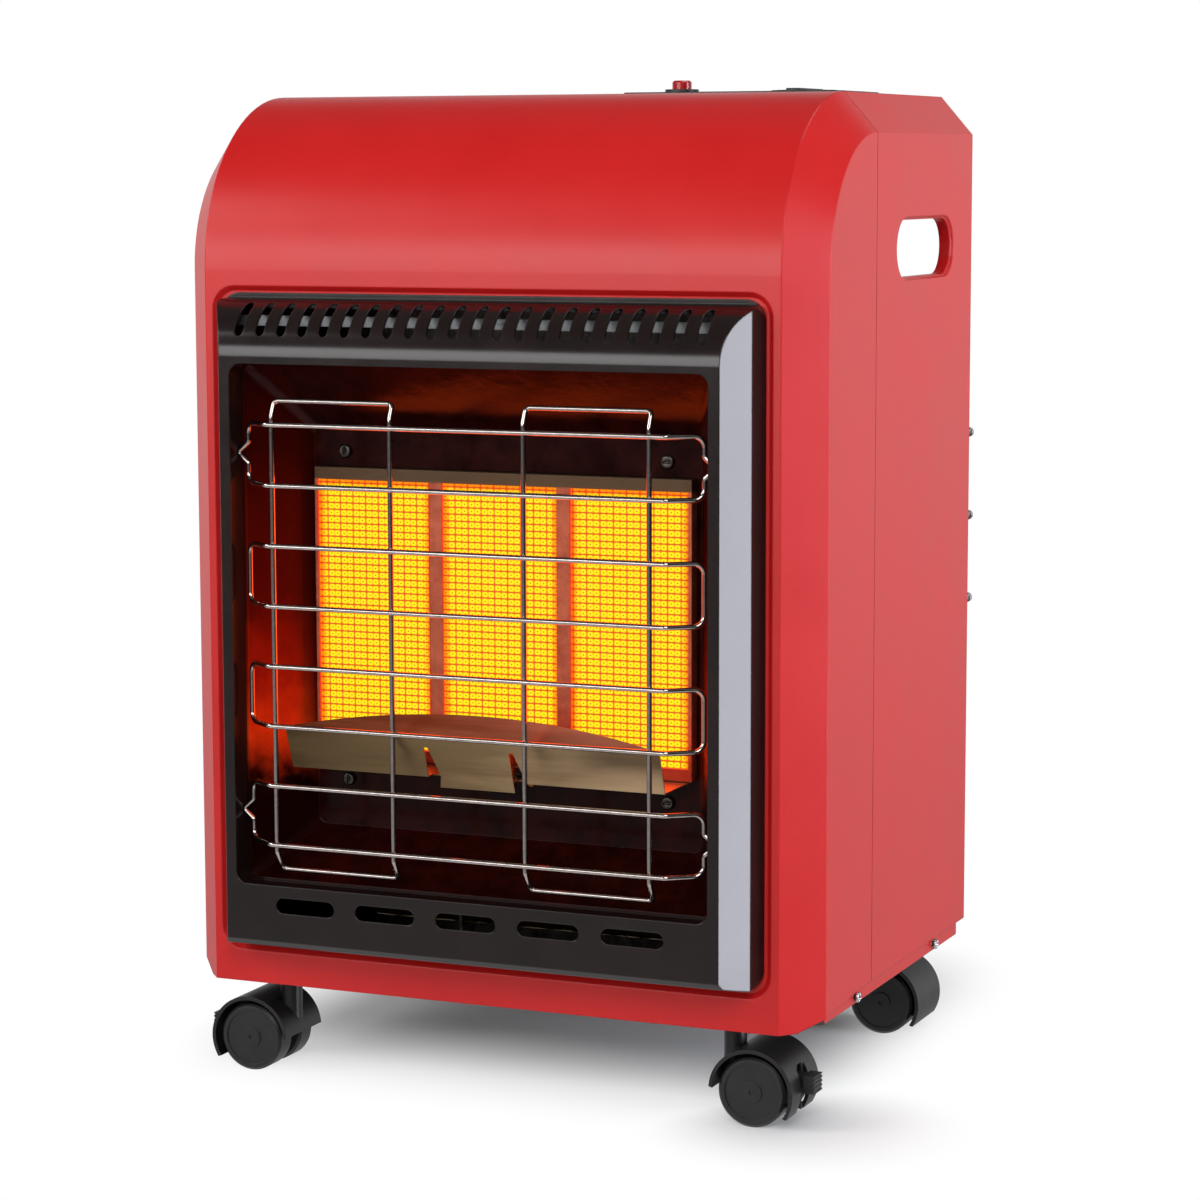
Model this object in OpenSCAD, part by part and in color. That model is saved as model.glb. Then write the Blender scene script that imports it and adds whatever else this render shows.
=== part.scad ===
// Portable propane radiant heater on casters: a steel cabinet around a
// three-plaque ceramic burner, with its gas train, guard, controls and wheels.
// Millimetres. Front faces -Y, +Z up, origin on the floor under the centre of its outline.

/* [Cabinet] */
// Width of the cabinet
body_w = 395; // [380:1:440]
// Depth of the cabinet, front face to rear edge
body_d = 280; // [260:1:320]
// Height of the cabinet's top above the floor
body_top = 575; // [560:1:610]
// Height of the cabinet's lower edge above the floor
body_base = 67; // [64:1:72]
// Depth of the front casing, which is also the radius of its domed top
front_depth = 100; // [90:1:110]
// Width of the corner chamfer, seen from the front
corner_w = 20; // [14:1:26]
// Depth of the corner chamfer, seen from the side
corner_d = 23; // [16:1:28]
// Drop of the front face below the cabinet's lower edge
front_drop = 11; // [4:1:14]
// Thickness of the cabinet's steel sheet
sheet = 1; // [0.8:0.1:1.4]
// Width of the flanges turned in along the cabinet's edges
flange_w = 12; // [8:1:16]
// Gap of the seam between the front and the rear casing
seam_gap = 0.8; // [0.4:0.1:1.5]

/* [Back] */
// Height of the back panel's upper edge above the floor
panel_top = 440; // [400:5:450]
// Number of vents across the back panel
vent_columns = 9; // [5:2:9]
// Number of rows of vents
vent_rows = 9; // [4:1:9]
// Height of the highest rear stud above the floor
stud_top = 370; // [340:1:380]
// Spacing of the rear studs
stud_pitch = 51.5; // [40:0.5:60]
// Length of a rear stud
stud_l = 16; // [12:0.5:18]
// Depth of the base pan's turned-down edge
pan_h = 8; // [6:0.5:9]

/* [Window] */
// Distance from the window to the corner chamfer
window_margin = 4.5; // [3:0.5:8]
// Height of the window's lower edge above the floor
window_low = 75; // [73:1:78]
// Height of the window
window_h = 391; // [380:1:396]
// Radius of the window's corners
window_r = 14; // [10:1:18]
// Depth of the ledge that the surround sits on
ledge_depth = 3; // [2:0.5:4]
// Width of the ledge
ledge_w = 13; // [10:1:16]

/* [Surround] */
// Thickness of the enamelled sheet
enamel_t = 1.2; // [0.8:0.1:1.6]
// Gap between the surround's rim and the window's edge
rim_gap = 4; // [3:0.5:5]
// Depth of the surround's rim in front of the cabinet
rim_depth = 10; // [6:1:14]
// Depth of the whole surround in front of the cabinet
surround_depth = 29; // [24:1:34]
// Draft of the rim on each side
rim_draft = 3.5; // [2:0.5:5]
// Run-in of the slanted side walls
side_slant = 11.5; // [8:0.5:14]
// Width of the frame beside the opening
frame_side = 6.5; // [5:0.5:9]
// Height of the surround's lower panel
panel_h = 36; // [32:1:42]
// Height of the flat face between the opening and the visor
lintel_h = 4; // [2:0.5:12]
// Depth of the flange turned in around the opening
opening_return = 15; // [12:1:18]
// Number of slots in the sloping visor
visor_slots = 22; // [14:1:26]
// Length of a visor slot
visor_slot_l = 18; // [12:0.5:22]
// Width of a visor slot
visor_slot_w = 5.6; // [4:0.2:7]
// Number of slots in the lower panel
panel_slots = 5; // [3:1:5]
// Length of a lower slot
panel_slot_l = 37.5; // [28:0.5:42]
// Height of a lower slot
panel_slot_h = 9; // [6:0.5:12]
// Spacing of the lower slots
panel_slot_pitch = 51; // [46:1:54]

/* [Firebox and burner] */
// Depth of the burner's face behind the cabinet's front
burner_set = 19.5; // [17:0.5:22]
// Distance from the opening's side to the burner
burner_side = 28.5; // [27:0.5:36]
// Distance from the opening's upper edge down to the plaques
plaque_drop = 68; // [62:1:80]
// Thickness of a ceramic plaque
plaque_t = 13; // [10:1:16]
// Gap between two plaques
plaque_gap = 6.3; // [5:0.1:8]
// Distance from the opening's lower edge up to the plaques
plaque_rise = 75; // [70:1:82]
// Width of the steel frame around the plaques
burner_rim = 6; // [5:0.5:8]
// Depth of a burner chamber behind the plaques
chamber_d = 30; // [24:1:36]
// Diameter of a mixing tube
mixer_d = 22; // [18:1:26]

/* [Deflector] */
// Distance from the opening's side to the deflector's end
deflector_side = 30.5; // [28:0.5:40]
// Height of the deflector's front plate
deflector_h = 25; // [20:1:30]
// Lean of the front plate towards the front, over its height
deflector_lean = 9; // [5:1:12]
// Height of the arched flap at its middle
flap_rise = 15; // [10:1:18]
// Lean of the flap towards the burner
flap_angle = 38; // [20:1:50]

/* [Guard] */
// Diameter of the guard wire
wire_d = 3; // [2.5:0.1:3.6]
// Distance from the opening's side to the guard's end
guard_side = 6.1; // [5:0.1:10]
// Distance from the opening's lower edge up to the lowest wire
wire_rise = 24.5; // [22:0.5:30]
// Distance from the opening's upper edge down to the highest wire
wire_drop = 34.3; // [30:0.5:40]
// Length that each end of a loop runs back, across
guard_return = 18; // [14:0.5:18.5]
// Radius of a loop's corners
guard_corner = 6; // [4:0.5:8]
// Distance from the guard's end to an upright loop, before the shift
upright_inset = 24.4; // [24.4:0.2:32]
// Space between the two upright loops
upright_space = 82; // [70:1:100]
// Sideways shift of the two upright loops
upright_shift = -4; // [-4:0.5:4]
// Distance from the opening's lower edge up to the upright loops
upright_rise = 9; // [7:0.5:14]
// Distance from the opening's upper edge down to the upright loops
upright_drop = 21; // [18:0.5:26]

/* [Controls] */
// Distance from the cabinet's side to the knob's middle
knob_inset = 70.5; // [69:0.5:80]
// Distance of the controls behind the cabinet's middle
control_back = 35; // [32:1:42]
// Diameter of the knob
knob_d = 44; // [38:1:46]
// Height of the knob
knob_h = 18; // [15:1:20]
// Finger space around the knob in its dish
knob_room = 9; // [6:0.5:10]
// Height of the knob's top above the cabinet
knob_proud = 3.5; // [2:0.5:6]
// Travel of the knob when it is pushed
knob_travel = 3; // [2:0.5:4]
// Diameter of the valve spindle
spindle_d = 8; // [6:0.5:9]
// Distance from the knob's middle to the igniter button's
button_space = 77.5; // [70:0.5:84]
// Diameter of the igniter button
button_d = 11.5; // [9:0.5:13]
// Height of the button above the cabinet
button_proud = 9; // [7:0.5:11]
// Travel of the igniter button
button_travel = 5; // [3:0.5:6]

/* [Handle slots] */
// Length of a handle slot
handle_l = 104; // [90:1:112]
// Height of a handle slot
handle_h = 33; // [28:1:38]
// Height of a slot's middle above the floor
handle_z = 486; // [476:1:494]
// Depth of the lip drawn inwards around a slot
handle_lip = 8.5; // [6:0.5:11]

/* [Casters] */
// Diameter of a caster wheel
wheel_d = 40; // [36:1:42]
// Width of a twin-wheel caster
caster_w = 44; // [40:1:48]
// Width of one wheel
wheel_w = 15; // [13:0.5:16]
// Distance from the swivel axis to the axle
caster_trail = 17; // [15:0.5:18]
// Outer radius of the caster's hood
hood_r = 25; // [24:0.5:25.5]
// Thickness of the hood
hood_t = 2.2; // [1.8:0.1:2.4]
// Diameter of the swivel stem
stem_d = 8; // [7:0.5:9]
// Diameter of the axle
axle_d = 5; // [4:0.5:6]
// Distance from the cabinet's side to a swivel axis
caster_side = 55.5; // [52:0.5:62]
// Distance from the cabinet's front and rear edges to a swivel axis
caster_edge = 27; // [26:0.5:34]

/* [Gas inlet] */
// Distance from the cabinet's side to the inlet
inlet_side = 77.5; // [70:0.5:90]
// Height of the inlet above the base plate
inlet_rise = 48; // [40:1:60]
// Length of the inlet's threaded end
inlet_l = 16; // [12:1:20]
// Outer radius of the inlet's threaded end
inlet_r = 7.9; // [6:0.1:9]

/* [Clearances] */
// Gap between neighbouring pieces of the cabinet
fit_gap = 0.3; // [0.2:0.05:0.5]
// Radial running clearance of a spindle, stem or axle
run_gap = 0.05; // [0.03:0.01:0.1]
// Gap beside a moving piece
move_gap = 0.5; // [0.4:0.1:0.8]

/* [Hidden] */
$fn = 48;
eps = 0.01;

// Main planes of the cabinet
half_w = body_w / 2;
guard_reach = surround_depth + 2 + wire_d / 2;
inlet_reach = inlet_l + 6.5;
front = (guard_reach - inlet_reach - body_d) / 2;
back = front + body_d;
mid = (front + back) / 2;
seam = front + front_depth;
arc_z = body_top - front_depth;
face_low = body_base - front_drop;
corner_l = sqrt(corner_w * corner_w + corner_d * corner_d);
edge_flat = 9;
edge_rise = 4;

// Window, ledge and surround
window_w = body_w - 2 * corner_w - 2 * window_margin;
window_mid = window_low + window_h / 2;
ledge_y = front + ledge_depth;
rim_w = window_w - 2 * rim_gap - 2;
rim_h = window_h - 2 * rim_gap;
rim_low = window_low + rim_gap;
rim_top = rim_low + rim_h;
rim_r = window_r - rim_gap / 2;
rim_half = rim_w / 2;
face_half = rim_half - rim_draft - side_slant;
visor_r = surround_depth + ledge_depth;
visor_z = rim_top - 3 - visor_r;
visor_slot_z = visor_z + 20.5;
panel_low = rim_low + 7;
opening_half = face_half - frame_side;
opening_low = panel_low + panel_h;
opening_top = visor_z - lintel_h;
opening_h = opening_top - opening_low;
opening_mid = opening_low + opening_h / 2;
opening_r = 7;
surround_y = front - surround_depth;
return_y = surround_y + opening_return;

// Burner and firebox
burner_y = front + burner_set;
burner_half = opening_half - burner_side;
plaque_w = (2 * (burner_half - 1) - 2 * plaque_gap) / 3;
plaque_low = opening_low + plaque_rise;
plaque_h = opening_top - plaque_drop - plaque_low;
plaque_mid = plaque_low + plaque_h / 2;
frame_low = plaque_low - burner_rim;
frame_top = plaque_low + plaque_h + burner_rim;
frame_y = burner_y + 22;
box_back = burner_y + 8.5;
box_half = burner_half + 5;
box_low = opening_low + 26;
box_top = opening_top - 38;
chamber_y = burner_y + plaque_t + 2;
mixer_y = chamber_y + chamber_d / 2;
mixer_low = body_base + 52;
manifold_z = body_base + 30;
manifold_d = 14;

// Guard: the loops' straight wires lie in front of the uprights
guard_loops = 4;
guard_half = opening_half - guard_side;
wire_low = opening_low + wire_rise;
wire_pitch = (opening_h - wire_rise - wire_drop) / (2 * guard_loops - 1);
upright_w = guard_half - upright_inset - upright_space / 2;
upright_x = (upright_w + upright_space) / 2;
loop_y = front - guard_reach + wire_d / 2;
loop_end_y = loop_y + 13;
upright_y = loop_y + wire_d + 0.1;
upright_low = opening_low + upright_rise;
upright_top = opening_top - upright_drop;

// Controls, hung below the cabinet's top
control_y = mid + control_back;
knob_x = half_w - knob_inset;
button_x = knob_x - button_space;
plate_t = 1.5;
plate_lip = 2;
plate_x0 = button_x - 24;
plate_x1 = knob_x + knob_d / 2 + knob_room + 4;
plate_x = (plate_x0 + plate_x1) / 2;
plate_w = plate_x1 - plate_x0;
plate_l = 80;
dish_r = knob_d / 2 + knob_room;
knob_top = body_top + knob_proud;
knob_low = knob_top - knob_h;
dish_z = knob_low - knob_travel - 1.5;
valve_top = dish_z - plate_t;
button_top = body_top + button_proud;

// Casters
wheel_r = wheel_d / 2;
hood_top = 50;
web_w = caster_w - 2 * wheel_w - 5;
socket_d = 18;
caster_x = half_w - caster_side;
caster_y = body_d / 2 - caster_edge;
casters = [["fl", -1, -1], ["fr", 1, -1], ["rl", -1, 1], ["rr", 1, 1]];

// Gas inlet at the back
inlet_x = half_w - inlet_side;
inlet_z = body_base + inlet_rise;

enamel = "#151213";
red = "#d3302f";
steel = "#b9b6b0";
brass = "#b8923a";
copper = "#b5673a";
plastic = "#242325";

// ---------------------------------------------------------------- helpers

// Extrudes a front view (x, z) from depth y0 to y1
module along_y(y0, y1) translate([0, y1, 0]) rotate([90, 0, 0]) linear_extrude(y1 - y0) children();

// Extrudes a side view (y, z) from x0 to x1
module along_x(x0, x1) translate([x0, 0, 0]) rotate([90, 0, 90]) linear_extrude(x1 - x0) children();

// Both sides of something drawn on the +X side
module both_sides() {
    children();
    mirror([1, 0, 0]) children();
}

// Rectangle with round corners, centred, kept as true arcs
module rounded(w, h, r) {
    square([w - 2 * r, h], center = true);
    square([w, h - 2 * r], center = true);
    for (x = [-1, 1], y = [-1, 1])
        translate([x * (w / 2 - r), y * (h / 2 - r)]) circle(r = r);
}

// Slot with round ends, its length along the first axis
module stadium(l, h) {
    square([l - h, h], center = true);
    for (s = [-1, 1]) translate([s * (l - h) / 2, 0]) circle(d = h);
}

// Plug with round corners that narrows by d on every side from y0 back to y1
module tapered_plug(w, h, r, d, y0, y1) {
    l = y1 - y0;
    for (x = [-1, 1], z = [-1, 1])
        translate([x * (w / 2 - r), y1, z * (h / 2 - r)]) rotate([90, 0, 0])
            cylinder(r1 = r - d, r2 = r, h = l);
    along_x(-w / 2 + r, w / 2 - r)
        polygon([[y0, -h / 2], [y1, -h / 2 + d], [y1, h / 2 - d], [y0, h / 2]]);
    translate([0, 0, -h / 2 + r]) linear_extrude(h - 2 * r)
        polygon([[-w / 2, y0], [w / 2, y0], [w / 2 - d, y1], [-w / 2 + d, y1]]);
}

function unit(v) = v / norm(v);

// Puts a local frame (x, y, z axes as columns) at point o
module placed(o, x, y, z) multmatrix([
    [x[0], y[0], z[0], o[0]], [x[1], y[1], z[1], o[1]], [x[2], y[2], z[2], o[2]], [0, 0, 0, 1]]) children();

function any_normal(z) = unit(abs(z[2]) < 0.9 ? cross([0, 0, 1], z) : cross([1, 0, 0], z));

// Straight round rod from a to b
module rod(a, b, d) {
    z = unit(b - a);
    x = any_normal(z);
    placed(a, x, cross(z, x), z) cylinder(d = d, h = norm(b - a));
}

// Angle that a path turns through at p
function turn_at(a, p, b) = 180 - acos(max(-1, min(1, unit(a - p) * unit(b - p))));

// Round elbow at p between the points a and b, with bend radius r
module elbow(a, p, b, r, d) {
    u = unit(a - p);
    v = unit(b - p);
    turn = turn_at(a, p, b);
    centre = p + unit(u + v) * r / cos(turn / 2);
    x = unit(p + u * r * tan(turn / 2) - centre);
    z = unit(cross(v, u));
    placed(centre, x, cross(z, x), z) rotate_extrude(angle = turn)
        translate([r, 0]) circle(d = d, $fn = 24);
}

// Radius at corner i, where r is one number or a list with one for each point
function radius_at(r, i) = is_list(r) ? r[i] : r;

// Bent round wire or pipe through points, each corner an arc of radius r.
// The straights are a hair thinner than the arcs and reach a little way into them.
module bent(points, r, d, closed = false) {
    n = len(points);
    last = closed ? n - 1 : n - 2;
    reach = 0.05;
    for (i = [0:last]) {
        j = (i + 1) % n;
        a = points[i];
        b = points[j];
        next = points[(i + 2) % n];
        before = points[(i - 1 + n) % n];
        cut_a = closed || i > 0 ? radius_at(r, i) * tan(turn_at(before, a, b) / 2) - reach : 0;
        cut_b = closed || i < last ? radius_at(r, j) * tan(turn_at(a, b, next) / 2) - reach : 0;
        rod(a + unit(b - a) * cut_a, b - unit(b - a) * cut_b, d - 0.02);
        if (closed || i < last) elbow(a, b, next, radius_at(r, j), d);
    }
}

// Hexagonal prism measured across its flats
module hex(flats, h) cylinder(d = flats / cos(30), h = h, $fn = 6);

// Pan-head screw with its head's underside at the origin, shank along -Z
module screw(d = 4, l = 8) {
    cylinder(d = 2 * d, h = 0.35 * d);
    translate([0, 0, 0.35 * d]) cylinder(d1 = 2 * d, d2 = 1.3 * d, h = 0.25 * d);
    translate([0, 0, -l]) cylinder(d = d, h = l);
}

// ---------------------------------------------------------------- cabinet

// Plan of the front casing, inset by t, reaching back to y = rear
function casing_plan(t, rear) = let (
    side = half_w - t,
    bevel_y = front + corner_d + t * (corner_l - corner_d) / corner_w,
    bevel_x = half_w - corner_w - t * (corner_l - corner_w) / corner_d)
    [[-side, rear], [-side, bevel_y], [-bevel_x, front + t],
        [bevel_x, front + t], [side, bevel_y], [side, rear]];

// Front view of the cabinet with its bevelled top corners, inset by t, from height low
function arch(t, low) = let (
    side = half_w - t,
    bevel_z = body_top - corner_d - t * (corner_l - corner_d) / corner_w,
    bevel_x = half_w - corner_w - t * (corner_l - corner_w) / corner_d)
    [[-side, low], [side, low], [side, bevel_z], [bevel_x, body_top - t], [-bevel_x, body_top - t],
    [-side, bevel_z]];

// Quarter of a turned form: the domed top of the front casing, inset by t
module dome(t) {
    side = half_w - t;
    bevel_r = front_depth - corner_d - t * (corner_l - corner_d) / corner_w;
    bevel_x = half_w - corner_w - t * (corner_l - corner_w) / corner_d;
    translate([0, seam, arc_z]) rotate([0, -90, 0]) rotate([0, 0, -90])
        rotate_extrude(angle = 90, $fn = 128)
            polygon([[0, -side], [bevel_r, -side], [front_depth - t, -bevel_x],
                [front_depth - t, bevel_x], [bevel_r, side], [0, side]]);
}

module casing_form(t, low, rear) {
    translate([0, 0, low]) linear_extrude(arc_z - low) polygon(casing_plan(t, rear));
    dome(t);
}

// Space under the front casing, whose lower edge drops towards the face
module below_edge() along_x(-half_w - 5, half_w + 5) polygon([
    [front - 5, 0], [front - 5, face_low], [front + edge_flat, face_low],
    [front + corner_d + 2, body_base - edge_rise], [seam - sheet, body_base],
    [seam + 5, body_base], [seam + 5, 0]]);

module front_casing() color(red) difference() {
    union() {
        difference() {
            casing_form(0, face_low - 5, seam);
            casing_form(sheet, 0, seam + 1);
            along_y(seam - eps, seam + 1) polygon(arch(sheet, 0));
        }
        // flange turned in along the seam
        along_y(seam - sheet, seam) difference() {
            polygon(arch(0, face_low));
            polygon(arch(flange_w, 0));
        }
        // lower edge of the face, turned in
        translate([0, 0, face_low]) linear_extrude(sheet) intersection() {
            polygon(casing_plan(0, seam));
            translate([-half_w, front]) square([body_w, edge_flat]);
        }
        // pressed ledge around the window
        translate([0, 0, window_mid]) along_y(front, ledge_y + sheet)
            rounded(window_w + 2, window_h + 2, window_r + 1);
    }
    below_edge();
    translate([0, 0, window_mid]) {
        tapered_plug(window_w + 2 * eps, window_h + 2 * eps, window_r, ledge_depth, front - eps, ledge_y);
        along_y(ledge_y - eps, ledge_y + 5)
            rounded(window_w - 2 * ledge_w, window_h - 2 * ledge_w, window_r - 4);
    }
    base_screw_holes();
}

// Outline of a handle slot seen from the side
module handle_hole(grow = 0) translate([(seam + back) / 2, handle_z])
    stadium(handle_l + 2 * grow, handle_h + 2 * grow);

module rear_casing() color(red) difference() {
    union() {
        along_y(seam + seam_gap, back) difference() {
            polygon(arch(0, body_base));
            polygon(arch(sheet, 0));
        }
        for (y = [seam + seam_gap, back - sheet]) along_y(y, y + sheet) difference() {
            polygon(arch(0, body_base));
            polygon(arch(flange_w, 0));
        }
        both_sides() along_x(half_w - handle_lip, half_w - eps) handle_hole(sheet);
    }
    both_sides() {
        along_x(half_w - 20, half_w + 5) handle_hole();
        translate([half_w - 2, (seam + back) / 2, handle_z]) rotate([0, 0, -90])
            tapered_plug(handle_l, handle_h, handle_h / 2 - eps, -2, 0, 2 + eps);
    }
    translate([plate_x, control_y, body_top - 5]) linear_extrude(10)
        rounded(plate_w - 2 * plate_lip, plate_l - 2 * plate_lip, 8);
    for (p = concat(back_screw_points(), stud_points())) translate([p[0], back + 1, p[1]]) rotate([90, 0, 0])
        cylinder(d = 4 + 2 * fit_gap, h = 5);
}

// Pan with flanges turned down; the casings stand around it
module base_plate() color(plastic) difference() {
    translate([0, 0, body_base - pan_h]) linear_extrude(pan_h) polygon(base_plan(sheet + fit_gap));
    translate([0, 0, body_base - pan_h - eps]) linear_extrude(pan_h - sheet + eps)
        polygon(base_plan(2 * sheet + fit_gap));
    for (c = casters) translate([c[1] * caster_x, mid + c[2] * caster_y, 0])
        cylinder(d = stem_d + 2, h = body_base + 1);
    // air slots
    slot_pitch = (caster_x - socket_d - 14) * 2 / 11;
    for (i = [-5.5:5.5], j = [-1:1]) translate([i * slot_pitch, mid + j * (caster_y - 53), body_base - 5])
        linear_extrude(10) stadium(0.7 * slot_pitch, 5);
    base_screw_holes();
}

function base_plan(t) = casing_plan(t, back - flange_w);

base_screw_y = [seam - 25, back - 60];
base_screw_z = body_base - pan_h / 2;

module base_screw_holes() both_sides() for (y = base_screw_y)
    translate([half_w - 10, y, base_screw_z]) rotate([0, 90, 0]) cylinder(d = 3 + 2 * fit_gap, h = 20);

// Screws of the back panel and studs beside them, as (x, z) points
function back_screw_points() = [
    for (s = [-1, 1], z = [body_base + 20, (body_base + panel_top) / 2 - 6, panel_top - 12])
        [s * (half_w - flange_w / 2 - 1), z]];
function stud_points() = [for (s = [-1, 1], i = [0:2]) [s * (half_w - 5), stud_top - stud_pitch * i]];

// Vented cover of the lower back
module back_panel() color(plastic) difference() {
    along_y(back + fit_gap, back + fit_gap + sheet) translate([0, (body_base + panel_top) / 2])
        square([body_w - 19, panel_top - body_base - 2], center = true);
    vent_pitch = (body_w - 89) / vent_columns;
    vent_low = inlet_z + 92;
    row_pitch = (panel_top - 73 - vent_low) / (vent_rows - 1);
    for (i = [0:vent_columns - 1], j = [0:vent_rows - 1])
        translate([(i - (vent_columns - 1) / 2) * vent_pitch, 0, vent_low + j * row_pitch])
            along_y(back - 5, back + 5) stadium(0.7 * vent_pitch, 5);
    translate([inlet_x, back - 5, inlet_z]) rotate([-90, 0, 0]) cylinder(r = inlet_r + fit_gap, h = 10);
    for (p = back_screw_points()) translate([p[0], back + 5, p[1]]) rotate([90, 0, 0])
        cylinder(d = 4 + 2 * fit_gap, h = 10);
}

// Sheet that parts the burner from the controls, hung on the front casing's flange
module heat_shield() color(steel) difference() {
    shield_y = seam - sheet - fit_gap;
    shield_pitch = (half_w - 67.5) / 5;
    union() {
        along_y(shield_y - sheet, shield_y) polygon(arch(sheet + fit_gap + 3, body_base + fit_gap));
        translate([-half_w + 30, shield_y - 12, body_base + fit_gap]) cube([body_w - 60, 12, sheet]);
    }
    for (i = [-5:5]) translate([i * shield_pitch, 0, body_top - 75]) along_y(shield_y - 5, shield_y + 5)
        rotate(90) stadium(46, 6);
    // ways for the two pipes
    along_y(shield_y - 20, shield_y + 5) {
        translate([burner_drop_x, manifold_z]) square([18, 24], center = true);
        translate([pilot_run_x(shield_y), pilot_run_z]) circle(d = 12);
    }
}

module back_screws() color(steel) for (p = back_screw_points())
    translate([p[0], back + 2 * fit_gap + sheet, p[1]]) rotate([-90, 0, 0]) screw(4, 9);

module casing_screws() color(steel) both_sides() for (y = base_screw_y)
    translate([half_w + 0.05, y, base_screw_z]) rotate([0, 90, 0]) screw(3, 6);

// Studs that stand off the rear edge and keep the cabinet off a wall
module rear_studs() color(steel) for (p = stud_points())
    translate([p[0], back + fit_gap, p[1]]) rotate([-90, 0, 0]) {
    cylinder(d = 4, h = stud_l);
    translate([0, 0, stud_l - 3]) cylinder(d = 6, h = 3);
    translate([0, 0, -4]) cylinder(d = 4, h = 4);
    translate([0, 0, -4 - sheet - fit_gap]) cylinder(d = 7, h = 2);
}

// ---------------------------------------------------------------- surround and firebox

// Plan of the surround, inset by t
function surround_plan(t, rear) = [
    [-rim_half + t, rear], [-rim_half + rim_draft + t, front - rim_depth],
    [-face_half + t, surround_y + t], [face_half - t, surround_y + t],
    [rim_half - rim_draft - t, front - rim_depth], [rim_half - t, rear]];

module surround_form(t, rear) intersection() {
    translate([0, 0, rim_low - 1]) linear_extrude(rim_h + 2) polygon(surround_plan(t, rear));
    along_x(-rim_half - 1, rim_half + 1) {
        polygon([[rear, panel_low - 4 + t], [front - rim_depth, panel_low - 4 + t],
            [surround_y + 3, panel_low - 0.5 + t],
            [surround_y + t, panel_low + 3], [surround_y + t, visor_z], [rear, visor_z]]);
        intersection() {
            translate([ledge_y, visor_z]) circle(r = visor_r - t, $fn = 96);
            translate([surround_y - 1, visor_z - eps]) square([rear - surround_y + 1, visor_r + 1]);
        }
    }
    translate([0, 0, (rim_low + rim_top) / 2]) along_y(surround_y - 1, rear + eps)
        rounded(rim_w - 2 * t, rim_h - 2 * t, rim_r);
}

module surround() color(enamel) difference() {
    union() {
        difference() {
            surround_form(0, ledge_y - fit_gap);
            surround_form(enamel_t, ledge_y + 5);
        }
        // rim that lies on the ledge
        translate([0, 0, (rim_low + rim_top) / 2]) along_y(ledge_y - enamel_t, ledge_y) difference() {
            rounded(rim_w, rim_h, rim_r);
            rounded(rim_w - 2 * 9, rim_h - 2 * 9, rim_r - 4);
        }
        // flange turned in around the opening
        translate([0, 0, opening_mid]) along_y(surround_y, return_y)
            rounded(2 * opening_half + 2 * enamel_t, opening_h + 2 * enamel_t, opening_r + enamel_t);
    }
    translate([0, 0, opening_mid]) along_y(surround_y - 5, return_y + 5)
        rounded(2 * opening_half, opening_h, opening_r);
    // visor slots, upright and cut straight back
    slot_pitch = 2 * (face_half - 11.5) / (visor_slots - 1);
    for (i = [0:visor_slots - 1])
        translate([(i - (visor_slots - 1) / 2) * slot_pitch, 0, visor_slot_z]) along_y(surround_y - 5, front)
            rotate(90) stadium(visor_slot_l, visor_slot_w);
    for (i = [0:panel_slots - 1])
        translate([(i - (panel_slots - 1) / 2) * panel_slot_pitch, 0, opening_low - 11.5])
            along_y(surround_y - 5, surround_y + 5) stadium(panel_slot_l, panel_slot_h);
    // holes for the guard's hooks
    for (z = hook_heights()) translate([-opening_half - 3, loop_end_y, z]) rotate([0, 90, 0])
        cylinder(d = wire_d + 3, h = 2 * opening_half + 6);
}

function hook_heights() = [for (i = [0, guard_loops - 1]) wire_low + (2 * i + 0.5) * wire_pitch];

// Steel strip behind the visor slots
module hanger_strip() color(steel) {
    strip_half = rim_half - rim_draft - enamel_t - fit_gap - 1;
    strip_h = 6;
    strip_out = 9;
    strip_l = strip_out + ledge_depth - enamel_t - 0.05;
    along_y(front - strip_out, front - strip_out + 1) translate([0, visor_slot_z - 1])
        square([2 * strip_half, strip_h], center = true);
    both_sides() translate([strip_half - 1, front - strip_out, visor_slot_z - 1 - strip_h / 2])
        cube([1, strip_l, strip_h]);
}

module firebox_form(t) hull() {
    translate([0, 0, opening_mid]) along_y(return_y + fit_gap - (t > 0 ? 1 : 0), return_y + fit_gap + 1)
        rounded(2 * (opening_half - t), opening_h - 2 * t, opening_r - t, $fn = 32);
    translate([0, 0, (box_low + box_top) / 2]) along_y(box_back - t - 1, box_back - t)
        rounded(2 * (box_half - t), box_top - box_low - 2 * t, opening_r - t, $fn = 32);
}

module firebox() color(enamel) difference() {
    union() {
        firebox_form(0);
        translate([0, 0, opening_mid]) along_y(return_y + fit_gap, return_y + fit_gap + enamel_t)
            rounded(2 * opening_half + 10, opening_h + 10, opening_r + 5);
    }
    firebox_form(enamel_t);
    along_y(box_back - 5, box_back + 5) translate([0, (frame_low + frame_top) / 2])
        square([2 * burner_half + 2 * fit_gap, frame_top - frame_low + 2 * fit_gap], center = true);
    for (p = firebox_screw_points()) translate([p[0], box_back - 5, p[1]]) rotate([-90, 0, 0])
        cylinder(d = 4 + 2 * fit_gap, h = 10);
    // way for the pilot's pipe
    along_y(box_back - 5, box_back + 5) translate([pilot_run_x(box_back), pilot_run_z]) circle(d = 7);
}

function firebox_screw_points() =
    [for (s = [-1, 1], z = [frame_top + 9, frame_low - 14]) [s * (burner_half - 17), z]];

module firebox_screws() color(steel) for (p = firebox_screw_points())
    translate([p[0], box_back - enamel_t - fit_gap, p[1]]) rotate([90, 0, 0]) screw(4, 6);

// ---------------------------------------------------------------- burner

function plaque_x(i) = (i - 1) * (plaque_w + plaque_gap);

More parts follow.
